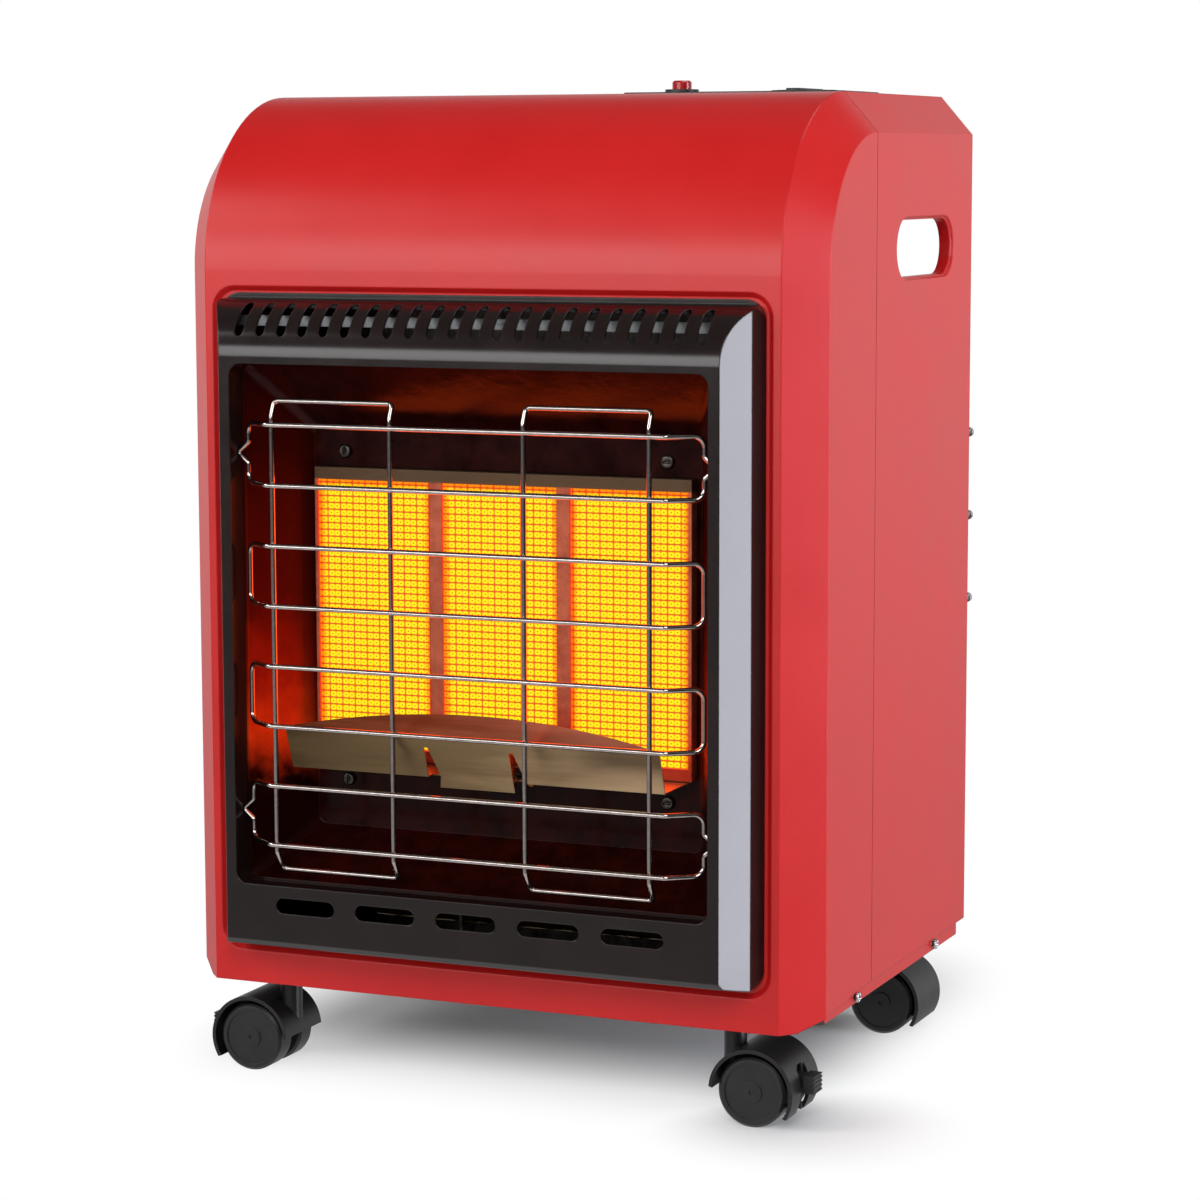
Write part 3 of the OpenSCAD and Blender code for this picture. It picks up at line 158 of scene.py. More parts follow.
def new_finish(name, **inputs):
    """A node material whose shader has these inputs, and that shader."""
    material = bpy.data.materials.new(name)
    material.use_nodes = True
    material.node_tree.nodes.clear()
    shader = add_node(material, "ShaderNodeBsdfPrincipled", **inputs)
    add_node(material, "ShaderNodeOutputMaterial", Surface=shader.outputs[0])
    return material, shader


def feed(material, shader, **outputs):
    """Links outputs of nodes to the shader's inputs."""
    for name, output in outputs.items():
        material.node_tree.links.new(output, shader.inputs[name.replace("_", " ")])


def drift(material, size_mm, stretch=(1, 1, 1)):
    """A value that drifts between 0 and 1 over the piece, in blotches of about size_mm."""
    place = add_node(material, "ShaderNodeTexCoord").outputs["Object"]
    squeeze = [1 / s for s in stretch]
    squeezed = add_node(material, "ShaderNodeMapping", Vector=place, Scale=squeeze)
    noise = add_node(
        material,
        "ShaderNodeTexNoise",
        Vector=squeezed.outputs[0],
        Scale=1000 / size_mm,
        Detail=NOISE_DETAIL,
        Roughness=NOISE_ROUGHNESS,
    )
    return add_node(
        material,
        "ShaderNodeMapRange",
        Value=noise.outputs["Fac"],
        From_Min=NOISE_LOW,
        From_Max=NOISE_HIGH,
    ).outputs[0]


def skin(material, edge_mm, height, depth_mm):
    """A normal with worn, rounded edges and that height's relief on top."""
    rounded = add_node(material, "ShaderNodeBevel", {"samples": 6}, Radius=edge_mm / 1000)
    return add_node(
        material,
        "ShaderNodeBump",
        Height=height,
        Distance=depth_mm / 1000,
        Normal=rounded.outputs[0],
    ).outputs[0]


def finish(name, dark, light, roughness, tone_mm, grain_mm, depth_mm, edge_mm, **inputs):
    """A finish whose colour and gloss drift between two tones, over a fine grain."""
    material, shader = new_finish(name, **inputs)
    tone = drift(material, tone_mm)
    tones = {"stops": [(0.0, dark), (1.0, light)]}
    colour = add_node(material, "ShaderNodeValToRGB", tones, Fac=tone)
    gloss = add_node(
        material,
        "ShaderNodeMapRange",
        Value=tone,
        To_Min=roughness * GLOSSIEST,
        To_Max=roughness * DULLEST,
    )
    relief = skin(material, edge_mm, drift(material, grain_mm), depth_mm)
    feed(material, shader, Base_Color=colour.outputs[0], Roughness=gloss.outputs[0], Normal=relief)
    return material


print("finish helpers ready")

# %% [markdown]
# ## Paint and enamel
#
# The cabinet is pressed steel with a baked gloss paint, the surround is enamelled like a
# cooker, and the base and the back are powder coated. One plain gloss in two colours
# would make them all look like plastic. They differ in what their making leaves on them,
# the spacing and the depth of their waves, so each gets a grain and a gloss of its own.

# %% Paint, enamel and powder coat
# Baked paint levels as it sets. It leaves soft highlights, with a trace of orange peel a
# few millimetres across.
red_paint = finish(
    "baked_gloss_paint_red",
    dark="#BE1616",
    light="#C61A1A",
    roughness=0.34,
    tone_mm=80,
    grain_mm=4,
    depth_mm=0.005,
    edge_mm=1.2,
    IOR=1.45,
)
# Enamel is glass melted onto the steel: almost black, hard and glossy, with a faint
# waviness that makes reflections swim.
black_enamel = finish(
    "vitreous_enamel_black",
    dark="#17100F",
    light="#1F1514",
    roughness=0.17,
    tone_mm=30,
    grain_mm=9,
    depth_mm=0.01,
    edge_mm=1.0,
    IOR=1.43,
)
# Powder melts into a dull skin of fine pimples, under half a millimetre across. They
# are too fine to show, so they are drawn at 1.2 mm.
powder_coat = finish(
    "powder_coat_black",
    dark="#1B1B1C",
    light="#242426",
    roughness=0.55,
    tone_mm=20,
    grain_mm=1.2,
    depth_mm=0.04,
    edge_mm=0.6,
)
print("made", red_paint.name, black_enamel.name, powder_coat.name)

# %% [markdown]
# ## The firebox's enamel
#
# The hood round the flames is enamelled too. Its back and roof are a deep red brown, and its sides
# carry a painted glow of the flames, orange near the flames' foot and brown further up. Two
# materials on chosen faces would leave a hard line between them. Here the distance from the middle
# blends one into the other, and a ramp turns height into the painted glow.

# %% Enamel of the firebox
# The sides start this far from the middle, in metres. On them a painted glow of the flames follows
# the height over the floor, with a ragged edge.
SIDES_START, SIDES_FULL = 0.119, 0.127
RAGGED_EDGE = 0.015
PAINTED_GLOW = [
    (0.185, "#1C0402"),
    (0.215, "#C83A10"),
    (0.25, "#861A07"),
    (0.29, "#4A0A03"),
    (0.42, "#280502"),
]
# The firebox's enamel stays smooth and wavy, but soot takes most of its shine.
firebox_enamel, shader = new_finish("vitreous_enamel_firebox", IOR=1.5, Specular_IOR_Level=0.12)
tone = drift(firebox_enamel, size_mm=14)
browns = {"stops": [(0.0, "#160302"), (1.0, "#2A0804")]}
plain = add_node(firebox_enamel, "ShaderNodeValToRGB", browns, Fac=tone)
place = add_node(firebox_enamel, "ShaderNodeTexCoord").outputs["Object"]
axes = add_node(firebox_enamel, "ShaderNodeSeparateXYZ", Vector=place)
height = add_node(
    firebox_enamel,
    "ShaderNodeMath",
    {"operation": "MULTIPLY_ADD"},
    _0=tone,
    _1=RAGGED_EDGE,
    _2=axes.outputs["Z"],
)
# The painted glow of the flames on the sides: orange near their foot, fading to brown up the
# walls.
painted_glow = add_node(firebox_enamel, "ShaderNodeValToRGB", {"stops": PAINTED_GLOW}, Fac=height.outputs[0])
outwards = add_node(
    firebox_enamel, "ShaderNodeMath", {"operation": "ABSOLUTE"}, _0=axes.outputs["X"]
)
beside = add_node(
    firebox_enamel,
    "ShaderNodeMapRange",
    SMOOTH,
    Value=outwards.outputs[0],
    From_Min=SIDES_START,
    From_Max=SIDES_FULL,
)
tint = add_node(
    firebox_enamel,
    "ShaderNodeMix",
    COLOURS,
    Factor=beside.outputs[0],
    _6=plain.outputs[0],
    _7=painted_glow.outputs[0],
)
gloss = add_node(firebox_enamel, "ShaderNodeMapRange", Value=tone, To_Min=0.13, To_Max=0.18)
waves = drift(firebox_enamel, size_mm=16)
relief = skin(firebox_enamel, edge_mm=0.8, height=waves, depth_mm=0.06)
feed(
    firebox_enamel,
    shader,
    Base_Color=tint.outputs[2],
    Roughness=gloss.outputs[0],
    Normal=relief,
)
print("made", firebox_enamel.name)

# %% [markdown]
# ## Galvanised sheet
#
# The strips, brackets and burner chambers are sheet steel dipped in zinc, which sets in
# crystals. A noise would only cloud it. A Voronoi texture parts the surface into cells
# with one value each, and that is what the crystals look like: flat flakes, some pale
# and dull, some darker and glossier.

# %% Galvanised sheet
# Zinc crystals on thin sheet are about 9 mm across.
FLAKE_MM = 9
galvanised, shader = new_finish("galvanised_sheet", Metallic=0.9)
place = add_node(galvanised, "ShaderNodeTexCoord").outputs["Object"]
flakes = add_node(galvanised, "ShaderNodeTexVoronoi", Vector=place, Scale=1000 / FLAKE_MM)
flake = add_node(galvanised, "ShaderNodeSeparateColor", Color=flakes.outputs["Color"]).outputs[0]
greys = {"stops": [(0.0, "#6A6C6E"), (1.0, "#8E9091")]}
zinc = add_node(galvanised, "ShaderNodeValToRGB", greys, Fac=flake)
gloss = add_node(galvanised, "ShaderNodeMapRange", Value=flake, To_Min=0.32, To_Max=0.5)
grain = drift(galvanised, size_mm=3)
relief = skin(galvanised, edge_mm=0.5, height=grain, depth_mm=0.02)
feed(galvanised, shader, Base_Color=zinc.outputs[0], Roughness=gloss.outputs[0], Normal=relief)
print("made", galvanised.name)

# %% [markdown]
# ## Bare metals
#
# Wire, brass, copper and aluminium are bare metal. A metal has no colour under its
# gloss: its colour is the tint of what it reflects, so its shader is fully metallic and
# keeps the default IOR. What sets them apart is that tint and how rough their making
# leaves them. The marks of a die, a lathe or a bath are hairs too fine to show, so each
# is drawn as a soft grain of 1.5 to 4 mm.

# %% Warm metals
# Chrome plate over drawn wire is the smoothest of them. Its slightly warm tint is a painted
# reflection of the red glow round it.
chrome = finish(
    "chrome_plated_wire",
    dark="#A29894",
    light="#B8AEAA",
    roughness=0.12,
    tone_mm=4,
    grain_mm=2,
    depth_mm=0.004,
    edge_mm=0.3,
    Metallic=1.0,
)
# Brass off the lathe: yellow, with a soft gloss.
brass = finish(
    "turned_brass",
    dark="#A9843C",
    light="#C9A458",
    roughness=0.28,
    tone_mm=8,
    grain_mm=1.5,
    depth_mm=0.01,
    edge_mm=0.4,
    Metallic=1.0,
)
# Copper tube that was drawn through a die and has begun to tarnish in long patches.
copper = finish(
    "drawn_copper_tube",
    dark="#A8603A",
    light="#C67B50",
    roughness=0.3,
    tone_mm=12,
    grain_mm=4,
    depth_mm=0.01,
    edge_mm=0.4,
    Metallic=1.0,
)
print("made", chrome.name, brass.name, copper.name)

# %% Pale and dark metals
# Soft aluminium, pale and a little matt.
aluminium = finish(
    "soft_aluminium_tube",
    dark="#B7B7B5",
    light="#CFCFCD",
    roughness=0.35,
    tone_mm=10,
    grain_mm=4,
    depth_mm=0.01,
    edge_mm=0.4,
    Metallic=1.0,
)
# Zinc plate on small steel parts: a cool grey.
zinc_steel = finish(
    "zinc_plated_steel",
    dark="#9FA1A2",
    light="#C2C4C5",
    roughness=0.3,
    tone_mm=5,
    grain_mm=1.5,
    depth_mm=0.01,
    edge_mm=0.4,
    Metallic=1.0,
)
# Phosphate crystals turn steel nearly black, with a brown cast.
dark_steel = finish(
    "phosphated_steel",
    dark="#3A3634",
    light="#5A5450",
    roughness=0.35,
    tone_mm=5,
    grain_mm=1.5,
    depth_mm=0.02,
    edge_mm=0.4,
    Metallic=1.0,
)
print("made", aluminium.name, zinc_steel.name, dark_steel.name)

# %% [markdown]
# ## The burner frame
#
# The steel frame round the plaques runs at a dull heat, so a thin oxide tints it a warm brown red.
# Along its top edge it is dark. That edge could be a piece of its own, but it is the same sheet,
# so the height alone picks the colour.

# %% Burner frame
# The dark band starts at this height, with a short blend.
BAND_MM, BLEND_BELOW_MM, BLEND_ABOVE_MM = 354.5, 1.5, 0.5
# An oxide skin is part metal and part glass to the eye, so it is less than fully
# metallic. Its scale is too fine to show, and is drawn at 2 mm.
hot_steel, shader = new_finish("hot_burner_steel", Metallic=0.7)
tone = drift(hot_steel, size_mm=8)
reds = {"stops": [(0.0, "#9C4830"), (1.0, "#BC6448")]}
warm = add_node(hot_steel, "ShaderNodeValToRGB", reds, Fac=tone)
place = add_node(hot_steel, "ShaderNodeTexCoord").outputs["Object"]
axes = add_node(hot_steel, "ShaderNodeSeparateXYZ", Vector=place)
banded = add_node(
    hot_steel,
    "ShaderNodeMapRange",
    SMOOTH,
    Value=axes.outputs["Z"],
    From_Min=(BAND_MM - BLEND_BELOW_MM) / 1000,
    From_Max=(BAND_MM + BLEND_ABOVE_MM) / 1000,
)
tint = add_node(
    hot_steel,
    "ShaderNodeMix",
    COLOURS,
    Factor=banded.outputs[0],
    _6=warm.outputs[0],
    _7=linear("#4E3A26"),
)
gloss = add_node(hot_steel, "ShaderNodeMapRange", Value=tone, To_Min=0.38, To_Max=0.5)
scale = drift(hot_steel, size_mm=2)
relief = skin(hot_steel, edge_mm=0.8, height=scale, depth_mm=0.02)
feed(hot_steel, shader, Base_Color=tint.outputs[2], Roughness=gloss.outputs[0], Normal=relief)
print("made", hot_steel.name)

# %% [markdown]
# ## The deflector
#
# The deflector under the plaques is rolled stainless steel. Heat tints it unevenly: olive below
# its fold and brown above it. It grows paler towards the right, which is a painted sheen of the
# light from the right front. Rolling leaves fine lines across it. A brushed look could come from
# the shader's anisotropy, but noise that is stretched along the lines also carries the tint's
# streaks, so it does both.

# %% Heat-tinted stainless steel
# The rolling lines are a tenth of a millimetre apart. They are too fine to show, so they
# are drawn 2.5 mm apart and twelve times as long.
ROLLED = (12, 1, 1)
FOLD_MM, FOLD_BLEND_MM = 214.8, 1
# Between these ends, in metres, the colour runs up to the ramps' pale ends: a painted sheen of
# light from the right front.
SHEEN_LEFT_END, SHEEN_RIGHT_END = -0.11, 0.11
STREAKS = 0.2
OLIVES = [(0.0, "#54422A"), (0.6, "#80694A"), (1.0, "#BC9E7A")]
BROWNS = [(0.0, "#54240F"), (0.5, "#8E4A2C"), (1.0, "#C27A5E")]
stainless, shader = new_finish("heat_tinted_stainless", Metallic=0.85)
tone = drift(stainless, size_mm=7, stretch=ROLLED)
place = add_node(stainless, "ShaderNodeTexCoord").outputs["Object"]
axes = add_node(stainless, "ShaderNodeSeparateXYZ", Vector=place)
# Across the deflector the colour grows paler to the right: a painted sheen, with the random
# streaks on top.
across = add_node(
    stainless,
    "ShaderNodeMapRange",
    Value=axes.outputs["X"],
    From_Min=SHEEN_LEFT_END,
    From_Max=SHEEN_RIGHT_END,
)
streaks_and_sheen = add_node(
    stainless,
    "ShaderNodeMath",
    {"operation": "MULTIPLY_ADD"},
    _0=tone,
    _1=STREAKS,
    _2=across.outputs[0],
)
olive = add_node(stainless, "ShaderNodeValToRGB", {"stops": OLIVES}, Fac=streaks_and_sheen.outputs[0])
brown = add_node(stainless, "ShaderNodeValToRGB", {"stops": BROWNS}, Fac=streaks_and_sheen.outputs[0])
above_fold = add_node(
    stainless,
    "ShaderNodeMapRange",
    SMOOTH,
    Value=axes.outputs["Z"],
    From_Min=(FOLD_MM - FOLD_BLEND_MM) / 1000,
    From_Max=(FOLD_MM + FOLD_BLEND_MM) / 1000,
)
tint = add_node(
    stainless,
    "ShaderNodeMix",
    COLOURS,
    Factor=above_fold.outputs[0],
    _6=olive.outputs[0],
    _7=brown.outputs[0],
)
gloss = add_node(stainless, "ShaderNodeMapRange", Value=tone, To_Min=0.32, To_Max=0.42)
rolling_lines = drift(stainless, size_mm=2.5, stretch=ROLLED)
relief = skin(stainless, edge_mm=0.3, height=rolling_lines, depth_mm=0.05)
feed(stainless, shader, Base_Color=tint.outputs[2], Roughness=gloss.outputs[0], Normal=relief)
print("made", stainless.name)

# %% [markdown]
# ## Plastics, porcelain and ink
#
# The control plate and the knob are moulded in ABS, and the casters in nylon. A steel
# mould is spark-eroded on purpose, which leaves a grain that hides scratches and that
# the light catches as a soft sheen. The grain could be left out, but then the plastic
# would look like the enamel. It is about 0.1 mm, too fine to show, so it is drawn at
# 0.8 to 0.9 mm.

# %% Plastics
# ABS of the controls: a neutral black.
black_plastic = finish(
    "moulded_abs_black",
    dark="#19191A",
    light="#202021",
    roughness=0.42,
    tone_mm=12,
    grain_mm=0.8,
    depth_mm=0.03,
    edge_mm=0.6,
)
# Nylon of the casters' hoods: it soaks up light, and looks deeper than ABS.
hood_nylon = finish(
    "moulded_nylon_hood",
    dark="#0C090A",
    light="#110D0F",
    roughness=0.42,
    tone_mm=12,
    grain_mm=0.9,
    depth_mm=0.03,
    edge_mm=0.5,
)
# Nylon of the wheels, scuffed by the floor to a slightly paler and duller black.
wheel_nylon = finish(
    "moulded_nylon_wheel",
    dark="#131214",
    light="#191819",
    roughness=0.45,
    tone_mm=12,
    grain_mm=0.9,
    depth_mm=0.02,
    edge_mm=0.4,
)
# The igniter's button comes from a polished mould, so it is red and shiny.
red_plastic = finish(
    "moulded_abs_red",
    dark="#9E1013",
    light="#AE1518",
    roughness=0.22,
    tone_mm=6,
    grain_mm=1.5,
    depth_mm=0.01,
    edge_mm=0.6,
)
print("made the plastics")

# %% Porcelain and ink
# The spark electrode's insulator is glazed: off-white, smooth and glossy.
porcelain = finish(
    "glazed_porcelain",
    dark="#E6E1D6",
    light="#F0ECE3",
    roughness=0.15,
    tone_mm=8,
    grain_mm=3,
    depth_mm=0.005,
    edge_mm=0.3,
)
# Printed ink is a thin matt film. Its grain is too fine to show, and is drawn at 0.8 mm.
white_ink = finish(
    "white_marking_ink",
    dark="#D8D8D4",
    light="#E4E4E0",
    roughness=0.5,
    tone_mm=3,
    grain_mm=0.8,
    depth_mm=0.01,
    edge_mm=0.1,
)
print("made", porcelain.name, "and", white_ink.name)

# %% [markdown]
# ## The pattern of the glowing plaques
#
# Each plaque is a cordierite tile with rows of small burner holes in pairs. The holes
# could be cut into a mesh, but three tiles have some hundreds of them, and what shows is
# their glow. So the pattern is reckoned from the piece's own X and Z. A Ping-Pong node
# folds each axis into one cell of the pattern, and the distance from the hole and from
# the groove follows from that. Each row of the table is one Math node.

# %% Distances in the pattern
# In millimetres: a pair of holes, a row, a tile, and the distance between two tiles. A
# hole sits this far beside the middle of its pair, and its glow reaches this far.
PAIR_MM, ROW_MM, TILE_MM, TILE_PITCH_MM = 8.2, 3.95, 71.8, 80.1
HOLE_ASIDE_MM, GLOW_REACH_MM = 1.9, 2.6
# Whole numbers of pairs and tiles, added so that no distance is below zero.
MANY_PAIRS, MANY_TILES = 1000, 20
THINNER_GROOVE, RAGGED_RIM_MM, TOP_LEDGE_MM = 1.8, 1.5, 1
low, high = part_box("plaque_middle")
tile_top = high[2] * 1000 - TOP_LEDGE_MM
# Fired ceramic is matt and hardly shines, and it is brown where its glow leaves it dark.
glow, shader = new_finish(
    "cordierite_plaque_lit",
    Roughness=0.9,
    Base_Color=linear("#5A2C14"),
    Specular_IOR_Level=0.1,
)
place = add_node(glow, "ShaderNodeTexCoord").outputs["Object"]
in_mm = add_node(glow, "ShaderNodeVectorMath", {"operation": "SCALE"}, Vector=place, Scale=1000.0)
axes = add_node(glow, "ShaderNodeSeparateXYZ", Vector=in_mm.outputs[0])
worth = {"x": axes.outputs["X"], "z": axes.outputs["Z"], "blotches": drift(glow, size_mm=6)}
SUMS = (
    ("right_of_all", "ADD", "x", MANY_PAIRS * PAIR_MM),
    ("across", "PINGPONG", "right_of_all", PAIR_MM / 2),
    ("below_top", "SUBTRACT", tile_top, "z"),
    ("along", "PINGPONG", "below_top", ROW_MM / 2),
    ("beside_hole", "SUBTRACT", "across", HOLE_ASIDE_MM),
    ("beside_squared", "POWER", "beside_hole", 2.0),
    ("along_squared", "POWER", "along", 2.0),
    ("hole_squared", "ADD", "beside_squared", "along_squared"),
    ("from_hole", "SQRT", "hole_squared"),
    ("ring", "DIVIDE", "from_hole", GLOW_REACH_MM),
    ("from_row_groove", "SUBTRACT", ROW_MM / 2, "along"),
    ("from_pair_groove", "SUBTRACT", PAIR_MM / 2, "across"),
    ("pair_groove", "MULTIPLY", "from_pair_groove", THINNER_GROOVE),
    ("from_groove", "MINIMUM", "from_row_groove", "pair_groove"),
    ("right_of_tiles", "ADD", "x", MANY_TILES * TILE_PITCH_MM),
    ("from_middle", "PINGPONG", "right_of_tiles", TILE_PITCH_MM / 2),
    ("from_side", "SUBTRACT", TILE_MM / 2, "from_middle"),
    ("from_rim", "MINIMUM", "from_side", "below_top"),
    ("ragged", "MULTIPLY", "blotches", RAGGED_RIM_MM),
    ("from_ragged_rim", "ADD", "from_rim", "ragged"),
)
for result, operation, *terms in SUMS:
    numbered = {f"_{i}": worth.get(term, term) for i, term in enumerate(terms)}
    sum_node = add_node(glow, "ShaderNodeMath", {"operation": operation}, **numbered)
    worth[result] = sum_node.outputs[0]
print("made", len(SUMS), "distances of the pattern")

# %% [markdown]
# ## The colours of the glowing plaques
#
# Lit, the rings round the holes glow yellow, the grooves between the pairs glow orange,
# and the cooler rim of the tile glows red. What a camera gets of a flame is clipped by
# its exposure, but the light that falls on the enamel and the wire isn't, and one
# emission can't be both. So the camera's own rays see the pattern, and all other rays
# find a plain and stronger orange light.

# %% Rings, grooves and rim
RINGS = [(0.10, "#C25A14"), (0.20, "#FFF21E"), (0.58, "#FFEE14"), (0.86, "#F09A14")]
GROOVE_FROM_MM, GROOVE_TO_MM = 0.15, 0.62
RIM_FROM_MM, RIM_TO_MM, RIM_SHARE = 1.6, 6.0, 0.9
rings = add_node(glow, "ShaderNodeValToRGB", {"stops": RINGS}, Fac=worth["ring"])
groove = add_node(
    glow,
    "ShaderNodeMapRange",
    SMOOTH,
    Value=worth["from_groove"],
    From_Min=GROOVE_FROM_MM,
    From_Max=GROOVE_TO_MM,
    To_Min=1.0,
    To_Max=0.0,
)
lines = add_node(
    glow,
    "ShaderNodeMix",
    COLOURS,
    Factor=groove.outputs[0],
    _6=rings.outputs[0],
    _7=linear("#D8561A"),
)
rim = add_node(
    glow,
    "ShaderNodeMapRange",
    SMOOTH,
    Value=worth["from_ragged_rim"],
    From_Min=RIM_FROM_MM,
    From_Max=RIM_TO_MM,
    To_Min=RIM_SHARE,
    To_Max=0.0,
)
cooler = add_node(
    glow,
    "ShaderNodeMix",
    {"data_type": "RGBA", "blend_type": "MULTIPLY"},
    Factor=rim.outputs[0],
    _6=lines.outputs[2],
    _7=linear("#FF8A50"),
)
print("coloured the pattern")

# %% What the camera and the room get of the glow
GLOW_POWER = 4.2
PIT_FROM_MM, PIT_TO_MM, PIT_DEPTH_MM = 0.3, 0.8, 0.6
seen = add_node(glow, "ShaderNodeLightPath").outputs["Is Camera Ray"]
colour = add_node(
    glow,
    "ShaderNodeMix",
    COLOURS,
    Factor=seen,
    _6=linear("#FF5218"),
    _7=cooler.outputs[2],
)
power = add_node(glow, "ShaderNodeMapRange", Value=seen, To_Min=GLOW_POWER, To_Max=1.0)
pits = add_node(
    glow,
    "ShaderNodeMapRange",
    Value=worth["from_hole"],
    From_Min=PIT_FROM_MM,
    From_Max=PIT_TO_MM,
)
feed(
    glow,
    shader,
    Emission_Color=colour.outputs[2],
    Emission_Strength=power.outputs[0],
    Normal=skin(glow, edge_mm=0.3, height=pits.outputs[0], depth_mm=PIT_DEPTH_MM),
)
print("made", glow.name)

# %% [markdown]
# ## A finish for every solid
#
# A CAD solid keeps its own shape and only gets its finish. Each could be set by hand in
# the Material tab, but a table shows at a glance which parts of the heater share a
# finish, and the last line prints any solid that was forgotten.

# %% Give the solids their finishes
FINISHES = {
    "front_casing rear_casing": red_paint,
    "surround": black_enamel,
    "firebox": firebox_enamel,
    "base_plate back_panel": powder_coat,
    "hanger_strip manifold_bracket pilot_bracket": galvanised,
    "burner_left burner_middle burner_right": galvanised,
    "heat_shield": dark_steel,
    "burner_frame": hot_steel,
    "plaque_left plaque_middle plaque_right": glow,
    "deflector": stainless,
    "guard_loop_1 guard_loop_2 guard_loop_3 guard_loop_4 guard_uprights": chrome,
    "manifold injectors gas_valve gas_inlet pilot_burner": brass,
    "supply_pipe burner_pipe thermocouple": copper,
    "pilot_pipe": aluminium,
    "spark_electrode": porcelain,
    "caster_sockets caster_stems axle_fl axle_fr axle_rl axle_rr": zinc_steel,
    "casing_screws back_screws firebox_screws rear_studs push_rod valve_spindle": zinc_steel,
    "control_plate knob piezo_igniter tip_switch brake_fl brake_fr": black_plastic,
    "hood_fl hood_fr hood_rl hood_rr": hood_nylon,
    "wheels_fl wheels_fr wheels_rl wheels_rr": wheel_nylon,
    "igniter_button": red_plastic,
}
for names, finish_of_node in FINISHES.items():
    for name in names.split():
        nodes[name].data.materials.clear()
        nodes[name].data.materials.append(finish_of_node)
finished = " ".join(FINISHES).split()
print("solids without a finish:", [name for name in nodes if name not in finished])

# %% [markdown]
# ## Red flanges of the base plate
#
# The base plate's side flanges show under the cabinet as a thin red line, because they
# are painted with it. A thin red piece over them would flicker where the two surfaces
# meet. So the plate stays one solid, which gets a second material slot, and the faces
# that look outwards at its two sides use it.

# %% Red paint on the base plate's outer flanges
FACES_OUT, FLANGE_DEPTH = 0.9, 0.004
low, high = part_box("base_plate")
base = nodes["base_plate"].data
base.materials.append(red_paint)
for face in base.polygons:
    if abs(face.normal.x) > FACES_OUT and abs(face.center.x) > high.x - FLANGE_DEPTH:
        face.material_index = 1
print("painted", sum(face.material_index for face in base.polygons), "faces")

# %% [markdown]
# ## Helpers for small pieces
#
# Some things are too small for the CAD model: the recesses of the screw heads, the weld
# beads where the guard's wires cross, the dial's marks and the thread of the gas inlet.
# Each copy could be an object of its own, but the weld beads alone would be dozens.
# Instead a piece is shaped once at the origin with mesh operators, and its copies are
# moved to their places inside one mesh.


# %% Helpers for pieces
def add_piece(name, mesh, material, body="cabinet"):
    """The mesh as a piece of that material, which moves with that body.
    """
    mesh.name = name
    mesh.materials.append(material)
    piece = bpy.data.objects.new(name, mesh)
    bpy.context.scene.collection.objects.link(piece)
    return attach(piece, body)


def to_mesh(bm):
    """The finished mesh of a bmesh, with smooth faces and all normals outwards."""
    bmesh.ops.recalc_face_normals(bm, faces=bm.faces)
    for face in bm.faces:
        face.smooth = True
    mesh = bpy.data.meshes.new("shape")
    bm.to_mesh(mesh)
    bm.free()
    return mesh


def copies(shape, turns_and_moves):
    """One mesh that holds a copy of the shape for each matrix."""
    bm = bmesh.new()
    for matrix in turns_and_moves:
        before = len(bm.verts)
        bm.from_mesh(shape)
        bm.verts.ensure_lookup_table()
        bmesh.ops.transform(bm, matrix=matrix, verts=bm.verts[before:])
    return to_mesh(bm)


def extruded(bm, faces, move):
    """Extrudes these faces of a bmesh by a move."""
    geometry = bmesh.ops.extrude_face_region(bm, geom=faces)["geom"]
    corners = [v for v in geometry if isinstance(v, bmesh.types.BMVert)]
    bmesh.ops.translate(bm, vec=move, verts=corners)


def stood(direction, place_mm, turn=0.0):
    """The matrix that stands a shape on a place, its top towards a direction."""
    upright = Vector(direction).to_track_quat("Z", "Y").to_matrix().to_4x4()
    return Matrix.Translation(Vector(place_mm) / 1000) @ upright @ Matrix.Rotation(turn, 4, "Z")


print("helpers for pieces ready")

# %% [markdown]
# ## Screw heads
#
# The heater's pan heads have a rounded rim and one slot or a cross in their top. A
# boolean could cut the slots, but its faces are hard to foresee. So the head is a
# circle that is extruded and bevelled, planes cut the slots' outline into its top, and
# the faces inside the outline are extruded down and their lids are taken off.

# %% Shape of a screw head
# Shares of the head's height and width.
ROUNDED, SLOT_REACH, SLOT_DEPTH = 0.55, 0.36, 0.6
# A face that looks up at least this much is on the top.
LOOKS_UP, TOLERANCE = 0.7, 1e-7


def screw_head(width, height, slot_width, slots):
    """A pan head that stands on the origin, with slots at these angles sunk into its top."""
    bm = bmesh.new()
    bmesh.ops.create_circle(bm, cap_ends=True, segments=24, radius=width / 2)
    extruded(bm, list(bm.faces), (0, 0, height))
    edge = [e for e in bm.edges if all(v.co.z > height / 2 for v in e.verts)]
    bmesh.ops.bevel(
        bm,
        geom=edge,
        offset=height * ROUNDED,
        segments=4,
        profile=0.5,
        affect="EDGES",
        material=-1,
    )
    reach = width * SLOT_REACH
    half = slot_width / 2
    for angle in slots:
        along = Vector((math.cos(angle), math.sin(angle), 0))
        side = Vector((-math.sin(angle), math.cos(angle), 0))
        for normal, distance in ((side, half), (-side, half), (along, reach), (-along, reach)):
            bmesh.ops.bisect_plane(
                bm,
                geom=list(bm.verts) + list(bm.edges) + list(bm.faces),
                dist=TOLERANCE,
                plane_co=normal * distance,
                plane_no=normal,
            )
    sunk = []
    for face in bm.faces:
        middle = face.calc_center_median()
        for angle in slots:
            along = abs(middle.x * math.cos(angle) + middle.y * math.sin(angle))
            side = abs(middle.y * math.cos(angle) - middle.x * math.sin(angle))
            if face.normal.z > LOOKS_UP and along < reach and side < half:
                sunk.append(face)
                break
    extruded(bm, sunk, (0, 0, -height * SLOT_DEPTH))
    bmesh.ops.delete(bm, geom=sunk, context="FACES")
    return to_mesh(bm)


print("the screw head's shape is ready")

